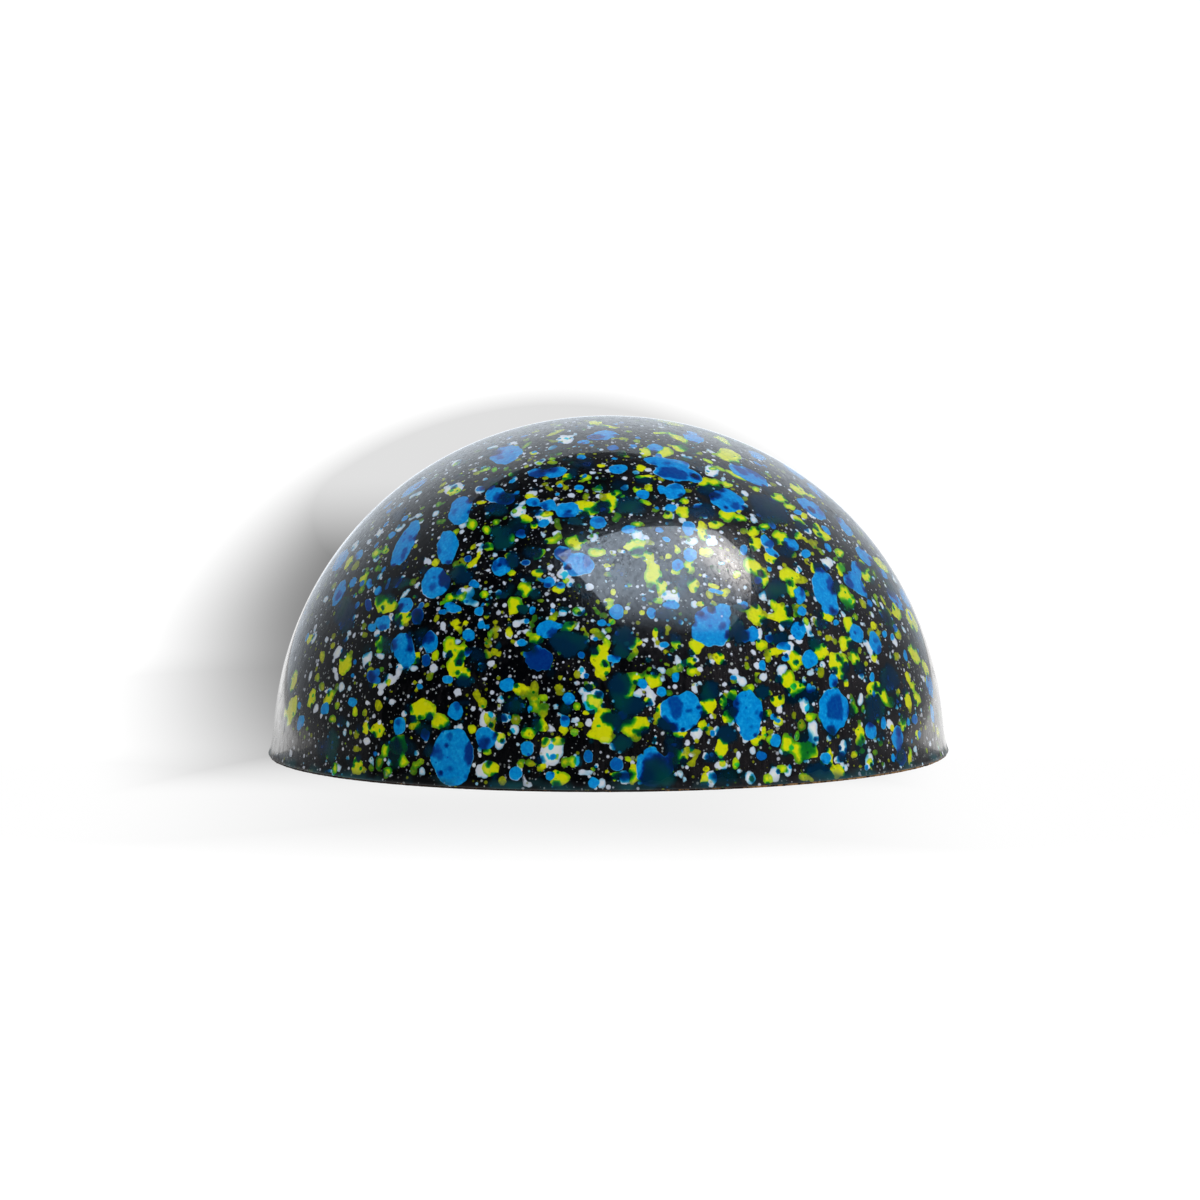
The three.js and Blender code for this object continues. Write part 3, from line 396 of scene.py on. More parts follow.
FILMS = (
    # Thick soft-edged drops of film over everything, with their depth last
    (.5,2.9,1.0,1.6,0,6), (.6,.4,1.0,.8,0,6), (2.2,-.9,1.7,1.4,0,4.5), (4.55,2.75,.85,1.0,0,5),
    (1.0,2.1,1.4,.9,0,6), (2.5,1.3,.6,.7,0,5), (5.3,.8,1.0,.8,0,6), (6.9,2.7,.7,.6,0,6),
    (9.4,-.8,1.1,.8,0,3.5), (7.6,3.3,.3,.4,0,4), (-8.0,1.6,.35,.4,0,4), (-8.75,1.5,.35,.35,0,4),
    (-6.5,3.2,.75,.6,0,4), (-7.2,1.2,.3,.3,0,2), (-4.75,9.35,1.0,.6,0,4), (-4.3,8.6,.6,.9,0,5),
    (-4.75,7.05,.6,.4,0,4), (-6.6,7.95,1.1,.9,0,5), (-8.55,6.1,.5,.7,0,3.2), (-12.4,.3,.7,1.6,0,3),
    (-10.6,3.4,.4,.5,0,2.2), (-11.8,6.2,1.2,1.6,0,4), (-9.3,7.6,.8,.6,0,4), (-9.75,6.9,.45,.5,0,3),
    (-10.1,6.5,.15,.25,0,3), (-10.0,5.0,.45,.6,0,2), (-9.35,5.75,.3,.3,0,2), (-9.5,5.9,.3,.3,0,1.5),
    (-5.0,10.9,1.1,.6,0,6), (-4.6,11.4,.8,.6,0,3.5), (-4.8,9.75,1.0,1.0,0,4), (-1.6,12.5,.45,.6,0,3),
    (-3.2,10.75,.5,.3,0,3), (-1.5,10.35,.8,.35,0,6), (-1.35,12.85,.3,.15,0,3), (-1.8,4.9,1.7,1.3,0,7),
    (-1.9,5.7,.55,.4,0,1.6), (-3.3,7.1,.6,.5,0,2.6), (-3.0,8.15,.5,.25,0,2), (-3.8,6.4,.5,.5,0,5),
    (.7,5.1,1.2,1.1,0,6), (.55,4.5,.8,.7,0,6), (2.55,6.2,1.0,.7,0,4), (3.35,7.6,.78,.85,0,2.4),
    (3.0,5.1,.6,.5,0,3), (2.35,5.4,.3,.5,0,1.5), (5.75,5.6,.7,1.1,0,5), (.95,11.05,1.35,.95,0,5),
    (1.6,12.18,.85,.28,0,3), (4.2,10.8,1.35,.7,0,7), (4.35,11.75,.7,.4,0,5), (7.2,10.9,1.9,1.2,-35,5),
    (7.3,10.25,.45,.22,-50,2), (6.0,5.2,.75,.7,0,5), (7.6,5.1,.95,.65,0,4), (8.4,4.05,.2,.26,0,3.5),
    (9.25,4.9,.65,.65,0,3), (7.5,7.3,1.0,1.1,20,6), (8.0,5.75,.6,.4,0,4), (10.15,7.35,.4,.7,0,4),
    (9.55,5.75,.65,.45,-30,4), (9.35,8.3,.45,.5,0,4), (7.75,7.4,.45,.6,0,2.5), (10.35,6.8,.12,.15,0,2),
    (11.9,2.3,.8,.6,0,3.2), (11.95,1.9,.85,1.2,0,4), (13.1,-.2,.45,.7,0,3.5), (10.7,.4,.35,.5,0,1.2),
    (10.45,-.2,.45,.6,0,5), (12.6,3.3,.9,1.3,0,5), (11.8,7.7,.3,.35,25,4), (12.65,7.3,.5,1.0,30,4),
    (13.3,2.75,.3,.3,0,3), (7.15,8.45,.15,.15,0,2), (10.1,3.65,.3,.4,0,5), (5.9,6.5,.7,.3,0,4),
    (8.6,10.15,.9,.3,-35,4), (-9.4,10.65,.5,.8,-40,4), (4.6,-.2,.6,.5,0,3), (.4,1.1,.35,.6,0,3),
    (-.35,2.6,.4,.3,0,3), (4.1,12.7,.35,.25,0,4), (1.35,9.0,.7,.4,0,3), (8.0,9.0,.8,.5,0,5),
    (-5.1,8.4,.25,.6,0,1.6), (8.35,9.8,.3,.5,0,1.5), (10.55,3.35,.3,.3,0,3),
)


# Modelling helpers

def deselect_all():
    if bpy.context.object and bpy.context.object.mode != "OBJECT":
        bpy.ops.object.mode_set(mode="OBJECT")
    bpy.ops.object.select_all(action="DESELECT")


def start_editing(piece, selection="DESELECT"):
    """Leaves only this piece selected and active, in edit mode, with nothing or all of it selected."""
    deselect_all()
    piece.select_set(True)
    bpy.context.view_layer.objects.active = piece
    bpy.ops.object.mode_set(mode="EDIT")
    bpy.ops.mesh.select_all(action=selection)


def select_where(piece, kind, wanted):
    """Selects the piece's vertices, edges or faces for which wanted() is true, and goes on editing."""
    bpy.ops.object.mode_set(mode="EDIT")
    bpy.ops.mesh.select_mode(type=kind)
    bpy.ops.mesh.select_all(action="DESELECT")
    bpy.ops.object.mode_set(mode="OBJECT")
    elements = {"VERT": piece.data.vertices, "EDGE": piece.data.edges, "FACE": piece.data.polygons}[kind]
    for element in elements:
        element.select = wanted(element)
    bpy.ops.object.mode_set(mode="EDIT")


def places_of(piece):
    """The vertices' places as an array with a row for each."""
    flat = np.empty(len(piece.data.vertices) * 3)
    piece.data.vertices.foreach_get("co", flat)
    return flat.reshape(-1, 3)


def put_places(piece, places):
    piece.data.vertices.foreach_set("co", places.ravel())
    piece.data.update()


def level_of(piece, edge):
    """The mean height of an edge of the piece."""
    ends = [piece.data.vertices[corner].co.z for corner in edge.vertices]
    return sum(ends) / len(ends)


# The dome

def dome_radius(height):
    """The dome's radius at a height above the base: a half sphere whose foot turns out a little."""
    rise = np.clip(np.abs(height - WIDEST_LEVEL) / MOULD_RADIUS, 0, 1)
    arc = MOULD_RADIUS * (1 - rise ** OUTLINE_POWER) ** (1 / OUTLINE_POWER)
    return arc + LIP_OUTWARD * np.exp(-height / LIP_FADE_HEIGHT)


def make_dome_skin():
    """The painted skin: half a fine ball drawn onto the dome's outline, with a rounded lip and flat foot."""
    fineness = 8
    snap = 0.002 * MM
    deselect_all()
    bpy.ops.mesh.primitive_ico_sphere_add(subdivisions=fineness, radius=MOULD_RADIUS)
    skin = bpy.context.object
    skin.name = "splattered_skin"
    start_editing(skin, "SELECT")
    bpy.ops.mesh.bisect(plane_co=(0, 0, 0), plane_no=(0, 0, 1), clear_inner=True, threshold=snap)
    bpy.ops.object.mode_set(mode="OBJECT")

    lowest = BASE_LEVEL + LAYER_SHOWING + LIP_ROUNDING
    lowest_angle = math.asin((lowest - WIDEST_LEVEL) / MOULD_RADIUS)
    places = places_of(skin)
    share = np.arcsin(np.clip(places[:, 2] / MOULD_RADIUS, 0, 1)) / (math.pi / 2)
    height = WIDEST_LEVEL + MOULD_RADIUS * np.sin(lowest_angle + (math.pi / 2 - lowest_angle) * share)
    across = np.hypot(places[:, 0], places[:, 1])
    top = across < snap
    stretch = np.where(top, 0, dome_radius(height) / np.where(top, 1, across))
    put_places(skin, np.column_stack((places[:, 0] * stretch, places[:, 1] * stretch, height)))

    select_where(skin, "EDGE", lambda edge: level_of(skin, edge) < lowest + snap)
    close_lip(lowest)
    smooth_up_to = math.radians(40)
    bpy.ops.object.shade_smooth_by_angle(angle=smooth_up_to)
    return skin


def close_lip(lowest):
    """Rolls the selected rim down and in by the lip's rounding, and closes it with a flat face."""
    steps = 3
    rim_radius = float(dome_radius(np.array(lowest)))
    level, radius = lowest, rim_radius
    for step in range(1, steps + 1):
        turn = math.pi / 2 * step / steps
        next_radius = rim_radius - LIP_ROUNDING * (1 - math.cos(turn))
        next_level = lowest - LIP_ROUNDING * math.sin(turn)
        drop = {"value": (0, 0, next_level - level)}
        bpy.ops.mesh.extrude_region_move(TRANSFORM_OT_translate=drop)
        narrowing = next_radius / radius
        bpy.ops.transform.resize(value=(narrowing, narrowing, 1), center_override=(0, 0, next_level))
        level, radius = next_level, next_radius
    bpy.ops.mesh.edge_face_add()
    bpy.ops.mesh.select_all(action="SELECT")
    bpy.ops.mesh.normals_make_consistent(inside=False)
    bpy.ops.object.mode_set(mode="OBJECT")


# The closing layer

def make_closing_layer():
    """The thin disc of bare chocolate under the skin, with a crumbling scraped edge."""
    sides = 900
    edge_rings = 4
    rim_widths = (0.15 * MM, 0.3 * MM, 0.6 * MM)
    radius = float(dome_radius(np.array(LAYER_TOP))) - LAYER_INSET
    thickness = LAYER_TOP - BASE_LEVEL
    half = thickness / 2
    deselect_all()
    bpy.ops.mesh.primitive_cylinder_add(vertices=sides, radius=radius, depth=thickness,
                                        location=(0, 0, BASE_LEVEL + half))
    bpy.ops.object.transform_apply(location=True, rotation=True, scale=True)
    layer = bpy.context.object
    layer.name = "scraped_closing_layer"
    start_editing(layer)
    select_where(layer, "EDGE", lambda edge: abs(level_of(layer, edge) - BASE_LEVEL - half) < half / 2)
    bpy.ops.mesh.subdivide(number_cuts=edge_rings)
    nearly_upright = 0.9
    select_where(layer, "FACE", lambda face: abs(face.normal.z) > nearly_upright)
    for width in rim_widths:
        bpy.ops.mesh.inset(thickness=width, use_individual=True)
    bpy.ops.object.mode_set(mode="OBJECT")
    crumble_edge(layer, radius)
    smooth_up_to = math.radians(35)
    bpy.ops.object.shade_smooth_by_angle(angle=smooth_up_to)
    return layer


def crumble_edge(layer, radius):
    """Pushes the vertices along the layer's edge in and out, as scraping leaves them."""
    crumb_depth = 0.05 * MM
    crumb_size = 0.22 * MM
    band = 0.2 * MM
    smoothness, finer_each_time, times = 0.7, 2.1, 4
    for vertex in layer.data.vertices:
        across = math.hypot(vertex.co.x, vertex.co.y)
        if across < radius - band:
            continue
        crumb = noise.fractal(vertex.co / crumb_size, smoothness, finer_each_time, times)
        growth = 1 + crumb_depth * crumb / across
        vertex.co.x *= growth
        vertex.co.y *= growth
    layer.data.update()


# Camera

def make_camera():
    """The camera, a little above the table, and the picture plane that the droplets' places are read on."""
    back = Vector((0, -math.cos(CAMERA_RISE), math.sin(CAMERA_RISE)))
    middle = Vector((0, 0, AIM_HEIGHT))
    camera = bpy.data.objects.new("camera", bpy.data.cameras.new("camera"))
    bpy.context.scene.collection.objects.link(camera)
    camera.data.lens = LENS_LENGTH
    camera.data.sensor_width = SENSOR_WIDTH
    camera.data.clip_start = 10 * MM
    camera.data.clip_end = 10000 * MM
    camera.location = middle + back * CAMERA_DISTANCE
    upward = Vector((0, math.sin(CAMERA_RISE), math.cos(CAMERA_RISE)))
    aim = middle - Vector((AIM_LEFT, 0, 0)) - upward * AIM_BELOW
    turn = (aim - camera.location).to_track_quat("-Z", "Y")
    camera.rotation_euler = turn.to_euler()
    camera.rotation_euler.rotate_axis("Z", -CAMERA_ROLL)
    bpy.context.scene.camera = camera
    bpy.context.view_layer.update()
    return camera


# Painting the droplets onto the skin

Splat = namedtuple("Splat", "place axes shape ripples depth")


def make_ripples(size, chance, largest_strength=0.17):
    """Waves that make a droplet's outline uneven, as (count, height, start) for each wave."""
    small_size, small_strength = 0.4, 0.09
    strength = small_strength if size < small_size else largest_strength
    return [(count, strength * chance.uniform(0.3, 1.0) / count ** 0.5, chance.uniform(0, 2 * math.pi))
            for count in (2, 3, 4, 6, 9)]


def surface_axes(normal):
    """Two directions along the surface: level, and up the slope."""
    nothing = 1e-6
    level = Vector((-normal.y, normal.x, 0))
    if level.length < nothing:
        level = Vector((1, 0, 0))
    level.normalize()
    return np.array((level, normal.cross(level)))


def read_splats(skin, camera, rows, chance, raggedness):
    """Droplets read off the picture, placed where the camera's rays through their middles meet the skin."""
    view = camera.matrix_world.to_3x3()
    right, upward, ahead = view.col[0], view.col[1], -view.col[2]
    start = camera.location
    base = Vector((0, 0, BASE_LEVEL)) - start
    base_depth = base.dot(ahead)

    def on_picture(place):
        way = place - start
        scale = base_depth / way.dot(ahead)
        return np.array((way.dot(right) * scale, way.dot(upward) * scale))

    splats = []
    for row in rows:
        across, up, wide, tall = row[:4]
        turn = math.radians(row[4]) if len(row) > 4 else 0
        depth = row[5] if len(row) > 5 else 1
        way = base + right * (across * MM) + upward * (up * MM)
        found, place, normal, face = skin.ray_cast(start, way.normalized())
        if not found:
            continue
        axes = surface_axes(normal)
        step = 0.01 * MM
        middle = on_picture(place)
        slopes = [(on_picture(place + Vector(axis) * step) - middle) / step for axis in axes]
        spin = np.array(((math.cos(turn), math.sin(turn)), (-math.sin(turn), math.cos(turn))))
        shape = np.diag((2 / wide, 2 / tall)) @ spin @ np.array(slopes).T
        shape = keep_round(shape, max(wide, tall))
        ripples = make_ripples(max(wide, tall), chance, raggedness)
        splats.append(Splat(np.array(place) / MM, axes, shape, ripples, depth))
    return splats


def keep_round(shape, size):
    """Limits how far a droplet seen near the outline can stretch along the surface away from the eye."""
    most_stretch = 1.5
    longest = most_stretch * size / 2
    left, strengths, rest = np.linalg.svd(shape)
    return left @ np.diag(np.maximum(strengths, 1 / longest)) @ rest


def far_side(splats):
    """The side that the photograph doesn't show: the same mix of droplets, turned half round the dome."""
    turned = []
    half_turn = np.diag((-1.0, -1.0, 1.0))
    # Droplets this near the flank's middle, in millimetres, would lie on top of their own copies
    front_limit = -0.8
    for splat in splats:
        if splat.place[1] > front_limit:
            continue
        turned.append(splat._replace(place=half_turn @ splat.place, axes=splat.axes @ half_turn))
    return turned


def strewn_splats(count, smallest, largest, chance):
    """Small droplets strewn at random over the whole dome, fewer of them low on the left."""
    flank, thinning = 0.55, 2.2
    mostly_small = 1.6
    splats = []
    while len(splats) < count:
        height = chance.uniform(0, 1)
        around = chance.uniform(0, 2 * math.pi)
        rise = math.asin(height)
        flat = math.cos(rise)
        normal = Vector((math.cos(around) * flat, math.sin(around) * flat, height))
        left_and_low = max(0, -normal.x - flank) * thinning
        if chance.random() < left_and_low:
            continue
        level = WIDEST_LEVEL + MOULD_RADIUS * height
        radius = float(dome_radius(np.array(level)))
        place = np.array((math.cos(around) * radius, math.sin(around) * radius, level)) / MM
        size = smallest * (largest / smallest) ** (chance.random() ** mostly_small)
        lean = chance.uniform(0.75, 1.3)
        shape = np.diag((2 / (size * lean), 2 * lean / size))
        splats.append(Splat(place, surface_axes(normal), shape, make_ripples(size, chance), 1))
    return splats


def bites(splats, smallest, most, widest, chance):
    """Drops of thick film over the edges of the larger droplets, which give them their starry shapes."""
    narrowest = 0.15
    drops = []
    for splat in splats:
        size = 2 / max(np.linalg.svd(splat.shape, compute_uv=False))
        if size < smallest:
            continue
        for drop in range(chance.randint(1, most)):
            angle = chance.uniform(0, 2 * math.pi)
            edge = np.array((math.cos(angle), math.sin(angle))) * chance.uniform(0.95, 1.25)
            place = splat.place + np.linalg.solve(splat.shape, edge) @ splat.axes
            radius = size * chance.uniform(narrowest, widest)
            shape = np.diag((1 / radius, 1 / radius))
            ripples = make_ripples(radius, chance)
            drops.append(Splat(place, splat.axes, shape, ripples, chance.uniform(2.5, 6)))
    return drops


def with_depths(splats, least, most, chance):
    """The same droplets, each with its own depth."""
    return [splat._replace(depth=chance.uniform(least, most)) for splat in splats]


def smooth_larger(first, second, blend):
    """The larger of two distances, rounded where they are nearly equal, as droplets run together."""
    overlap = np.maximum(blend - np.abs(first - second), 0) / blend
    return np.maximum(first, second) + overlap * overlap * blend / 4


class Surface:
    """The skin's vertices in millimetres, sorted by height so that those near a place are found quickly."""

    def __init__(self, skin):
        self.mesh = skin.data
        self.places = places_of(skin) / MM
        self.order = np.argsort(self.places[:, 2])
        self.heights = self.places[self.order, 2]

    def distances(self, splat):
        """The vertices near a droplet, and how far each lies inside (or, below zero, outside) its edge."""
        ripple_room, margin = 1.25, 0.35
        reach = ripple_room / min(np.linalg.svd(splat.shape, compute_uv=False)) + margin
        first = np.searchsorted(self.heights, splat.place[2] - reach)
        last = np.searchsorted(self.heights, splat.place[2] + reach)
        near = self.order[first:last]
        away = self.places[near] - splat.place
        close = (away * away).sum(axis=1) < reach * reach
        near, away = near[close], away[close]
        scaled = away @ splat.axes.T @ splat.shape.T
        ratio = np.maximum(np.hypot(scaled[:, 0], scaled[:, 1]), 1e-4)
        angle = np.arctan2(scaled[:, 1], scaled[:, 0])
        edge = 1 + sum(height * np.cos(count * angle + start) for count, height, start in splat.ripples)
        slope = np.linalg.norm((scaled / ratio[:, None]) @ splat.shape, axis=1)
        return near, (edge - ratio) / np.maximum(slope, 1e-6)

    def edges(self, splats):
        """For each vertex how far it lies inside a kind of droplet, and the depth of the droplet there."""
        outside, merging = -1.0, 0.08
        edge = np.full(len(self.places), outside)
        depth = np.zeros(len(self.places))
        for splat in splats:
            near, inside = self.distances(splat)
            deeper = inside > edge[near]
            depth[near[deeper]] = splat.depth
            edge[near] = smooth_larger(edge[near], inside, merging)
        return edge, depth

    def film(self, splats):
        """The thickness of the soft-edged drops of film, which add up where they overlap."""
        softness, most_of_half = 0.3, 0.6
        thickness = np.zeros(len(self.places))
        for splat in splats:
            near, inside = self.distances(splat)
            half_size = 1 / max(np.linalg.svd(splat.shape, compute_uv=False))
            share = np.clip(inside / min(softness, most_of_half * half_size), 0, 1)
            thickness[near] += splat.depth * share * share * (3 - 2 * share)
        return thickness

    def keep(self, name, values):
        kept = self.mesh.attributes.new(name, "FLOAT", "POINT")
        kept.data.foreach_set("value", values)


def paint(skin, camera):
    """Writes onto the skin where its white, yellow and blue droplets lie, and how thick the blue is."""
    chance = random.Random(41)
    surface = Surface(skin)
    both_sides = []
    for rows, raggedness in ((WHITES, 0.15), (YELLOWS, 0.17), (OLIVES, 0.17), (BLUES, 0.1), (TEALS, 0.15),
                             (SPOTS, 0.15), (FILMS, 0.15)):
        seen = read_splats(skin, camera, rows, chance, raggedness)
        both_sides.append(seen + far_side(seen))
    whites, yellows, olives, blues, teals, spots, films = both_sides
    olives = with_depths(olives, 0.3, 0.6, chance)
    yellows = with_depths(yellows, 0.85, 1.0, chance)
    small_whites = strewn_splats(1150, 0.07, 0.24, chance)
    small_olives = with_depths(strewn_splats(1500, 0.09, 0.32, chance), 0.2, 0.7, chance)
    small_blues = with_depths(strewn_splats(560, 0.1, 0.28, chance), 0.4, 2.2, chance)
    blues += with_depths(strewn_splats(220, 0.12, 0.34, chance), 1.0, 1.6, chance)
    small_films = with_depths(strewn_splats(650, 0.2, 1.3, chance), 0.8, 4, chance)
    small_films += bites(yellows, 0.3, 2, 0.34, chance) + bites(blues, 0.9, 2, 0.2, chance)
    small_films += bites(whites, 0.45, 1, 0.3, chance)

    white_edge, _ = surface.edges(whites + small_whites)
    surface.keep("white_edge", white_edge)
    for splats, edge_name, depth_name in ((yellows + olives + small_olives, "yellow_edge", "yellow_body"),
                                          (blues, "blue_edge", "blue_depth"),
                                          (teals + small_blues, "teal_edge", "teal_depth"),
                                          (spots, "spot_edge", "spot_depth")):
        edge, depth = surface.edges(splats)
        surface.keep(edge_name, edge)
        surface.keep(depth_name, depth)
    navy = surface.film(films)
    surface.keep("navy", navy)
    surface.keep("film", navy + surface.film(small_films))


# Shader arithmetic

class Amount:
    """A number or vector that a material works out, joined to others by ordinary arithmetic."""

    def __init__(self, tree, socket):
        self.tree = tree
        self.socket = socket

    def worked(self, operation, *others):
        kind = {"operation": operation}
        return node(self.tree, "ShaderNodeMath", kind, dict(enumerate((self,) + others))).out()

    def __add__(self, other):
        return self.worked("ADD", other)

    def __radd__(self, other):
        return self.worked("ADD", other)

    def __sub__(self, other):
        return self.worked("SUBTRACT", other)

    def __rsub__(self, other):
        return self.worked("MULTIPLY", -1) + other

    def __mul__(self, other):
        return self.worked("MULTIPLY", other)

    def __rmul__(self, other):
        return self.worked("MULTIPLY", other)

    def larger(self, other):
        return self.worked("MAXIMUM", other)

    def smaller(self, other):
        return self.worked("MINIMUM", other)

    def positive(self):
        """Its distance from zero, without its sign."""
        return self.worked("ABSOLUTE")

    def fading(self):
        """e to the power of minus this amount."""
        return self.worked("MULTIPLY", -1).worked("EXPONENT")

    def ramp(self, low, high, start=0.0, end=1.0):
        """Goes smoothly from start at low to end at high."""
        return node(self.tree, "ShaderNodeMapRange", {"interpolation_type": "SMOOTHSTEP"},
                    {"Value": self, "From Min": low, "From Max": high, "To Min": start, "To Max": end}).out()

    def feed(self, surface, name):
        self.tree.links.new(self.socket, surface.inputs[name])


class Made:
    """A node that has been made, and its outputs as amounts."""

    def __init__(self, tree, shader_node):
        self.tree = tree
        self.node = shader_node

    def out(self, name=0):
        return Amount(self.tree, self.node.outputs[name])


def node(tree, kind, settings=None, inputs=None):
    """Makes a node of a material: its settings first, then its inputs, which are amounts or plain values."""
    made = tree.nodes.new(kind)
    for name, value in (settings or {}).items():
        setattr(made, name, value)
    for name, value in (inputs or {}).items():
        if isinstance(value, Amount):
            tree.links.new(value.socket, made.inputs[name])
        else:
            made.inputs[name].default_value = value
    return Made(tree, made)


def new_material(name):
    """A new material, its nodes, and the shader that its surface shows."""
    material = bpy.data.materials.new(name)
    material.use_nodes = True
    tree = material.node_tree
    return material, tree, tree.nodes["Principled BSDF"]


def attribute(tree, name):
    return node(tree, "ShaderNodeAttribute", {"attribute_name": name}).out("Fac")


def scaled_places(tree, scale=(1, 1, 1)):
    """The piece's own coordinates, in millimetres, times a scale for each axis."""
    places = node(tree, "ShaderNodeTexCoord").out("Object")
    factors = tuple(part / MM for part in scale)
    return node(tree, "ShaderNodeVectorMath", {"operation": "MULTIPLY"}, {0: places, 1: factors}).out()


def moved(tree, places, shift):
    """Places moved by the same length along each axis, so that two patterns don't match."""
    lengths = (shift, shift, shift)
    return node(tree, "ShaderNodeVectorMath", {"operation": "ADD"}, {0: places, 1: lengths}).out()


def in_parts(tree, vector):
    """A vector's three parts."""
    parts = node(tree, "ShaderNodeSeparateXYZ", None, {0: vector})
    return parts.out(0), parts.out(1), parts.out(2)


def grain(tree, places, per_millimetre, detail, roughness, distortion=0.0):
    """Noise from 0 to 1."""
    return node(tree, "ShaderNodeTexNoise", None,
                {"Vector": places, "Scale": per_millimetre, "Detail": detail, "Roughness": roughness,
                 "Distortion": distortion}).out(0)


def wobble(tree, size, height=1.0, detail=1.0, shift=0.0):
    """Noise of a size in millimetres that swings by a height to either side of zero."""
    places = moved(tree, scaled_places(tree), shift)
    full_swing = 3.2
    return (grain(tree, places, 1 / size, detail, roughness=0.55) - 0.5) * (height * full_swing)


def mixed(tree, share, first, second):
    """A colour between two, or the second laid over the first by a share."""
    return node(tree, "ShaderNodeMix", {"data_type": "RGBA"}, {0: share, 6: first, 7: second}).out(2)


def blended(tree, blend_type, share, first, second):
    """Two colours multiplied or added."""
    return node(tree, "ShaderNodeMix", {"data_type": "RGBA", "blend_type": blend_type},
                {0: share, 6: first, 7: second}).out(2)


def dots(tree, places, cell, smallest, largest, presence, shift=0.0):
    """Specks, one at most in each cell, in millimetres: how far inside one, and its chance number."""
    cells = node(tree, "ShaderNodeTexVoronoi", None,
                 {"Vector": moved(tree, places, shift), "Scale": 1 / cell})
    parts = node(tree, "ShaderNodeSeparateColor", None, {0: cells.out("Color")})
    radius = parts.out(0) * parts.out(0) * parts.out(0) * (largest - smallest) + smallest
    absent = parts.out(1).ramp(presence, presence + 0.01)
    inside = radius - cells.out("Distance") * cell - absent
    return inside, parts.out(2)


# The painted skin's look

# How sharp a droplet's edge is, in millimetres to either side
CRISP = 0.022
# Where the skin is creased, in millimetres from the middle of the base, and how far round that
CREASED = (((5.2, -11.4, 8.3), 2.2), ((-0.7, -11.2, 10.0), 1.3))


class SkinLook:
    """What the layers of the painted skin share: its places, noises, streaks, specks and droplet edges."""

    def __init__(self, tree):
        self.tree = tree
        self.fine = wobble(tree, 0.24)
        self.broad = wobble(tree, 0.75, shift=7)
        self.slow = wobble(tree, 1.4, shift=4)
        self.mottle = wobble(tree, 0.14, height=0.45, shift=6) + self.broad * 0.14
        self.places = scaled_places(tree)
        self.across, _, height = in_parts(tree, self.places)
        self.foot = (height + self.broad * 0.15).ramp(0.2, 0.6, 1.0, 0.0)
        # Fine streaks run up the slope, as a released moulded shell has them
        self.streaks = grain(tree, scaled_places(tree, (1, 1, 0.14)), 6.0, detail=2.0, roughness=0.65)

        speck, self.speck_kind = dots(tree, self.places, cell=0.26, smallest=0.022, largest=0.11,
                                      presence=0.9)
        self.speck = speck.ramp(-CRISP, CRISP)
        self.white_edge = attribute(tree, "white_edge") + self.fine * 0.035 + self.broad * 0.07
        self.yellow_edge = attribute(tree, "yellow_edge") + self.fine * 0.03 - self.broad * 0.06 + 0.022
        self.blue_edge = attribute(tree, "blue_edge") - self.fine * 0.03 + self.broad * 0.06 + 0.04
        self.white = self.white_edge.ramp(-CRISP, CRISP)
        self.yellow = self.yellow_edge.ramp(-CRISP, CRISP)
        self.blue = self.blue_edge.ramp(-CRISP, 0.05)
        teal_edge = attribute(tree, "teal_edge") - self.fine * 0.03 - self.broad * 0.06
        self.teal = teal_edge.ramp(-CRISP, 0.05)
        # Film pools and turns green in some places and not in others
        self.pooling = (0.1 - self.slow).larger(0.0)


def shell_colour(look):
    """Chocolate, nearly black, lighter and a little brown towards the right, with a painted reflection of
    the pale backdrop along the far left flank, and pale flecks.
    """
    deep = (0.0004, 0.0007, 0.0015, 1)
    reflection_and_tone_grey = (0.022, 0.019, 0.02, 1)
    pale_fleck = (0.5, 0.53, 0.5, 1)
    # Painted reflection: lighter along the far left flank. Also lighter towards the right, and tone that
    # differs with the noise and the streaks
    reflection_and_tone = look.across.ramp(-4.0, 9.0, 0.0, 0.75) + look.across.ramp(-13.5, -10.0, 0.6, 0.0)
    reflection_and_tone = (reflection_and_tone + look.slow * 0.35 + (look.streaks - 0.5) * 1.4).larger(0.0).smaller(1.0)
    fleck, kind = dots(look.tree, look.places, cell=0.21, smallest=0.02, largest=0.065,
                       presence=0.92, shift=9.0)
    flecked = fleck.ramp(-CRISP, CRISP) * kind.ramp(0.2, 0.9, 0.3, 0.95)
    return mixed(look.tree, flecked, mixed(look.tree, reflection_and_tone, deep, reflection_and_tone_grey), pale_fleck)


def with_whites(look, colour):
    """Lays the white droplets and pale specks over a colour."""
    pale = (0.75, 0.78, 0.85, 1)
    bright = (0.93, 0.94, 0.86, 1)
    white = mixed(look.tree, look.white_edge.ramp(0.03, 0.25), pale, bright)
    colour = mixed(look.tree, look.white, colour, white)
    specks = look.speck * look.speck_kind.ramp(0.4, 0.42) * look.speck_kind.ramp(0.4, 0.8, 0.6, 0.95)
    return mixed(look.tree, specks, colour, pale)


def with_yellows(look, colour):
    """Lays the yellow droplets, which turn olive where they are thin, and olive specks over a colour."""
    full_yellow = (0.86, 0.87, 0.002, 1)
    thin_yellow = (0.29, 0.33, 0.006, 1)
    yellow_body = attribute(look.tree, "yellow_body")
    body = yellow_body + look.mottle * 0.5 + look.yellow_edge.ramp(0.0, 0.2, -0.15, 0.0)
    yellow = mixed(look.tree, body.ramp(0.1, 0.95), thin_yellow, full_yellow)
    opacity = (look.yellow * yellow_body.ramp(0.0, 0.5, 0.6, 0.97)).smaller(1.0)
    colour = mixed(look.tree, opacity, colour, yellow)
    olive = look.speck_kind.ramp(0.4, 0.42, 0.75, 0.0) * look.speck_kind.ramp(0.15, 0.17)
    return mixed(look.tree, look.speck * olive, colour, thin_yellow)


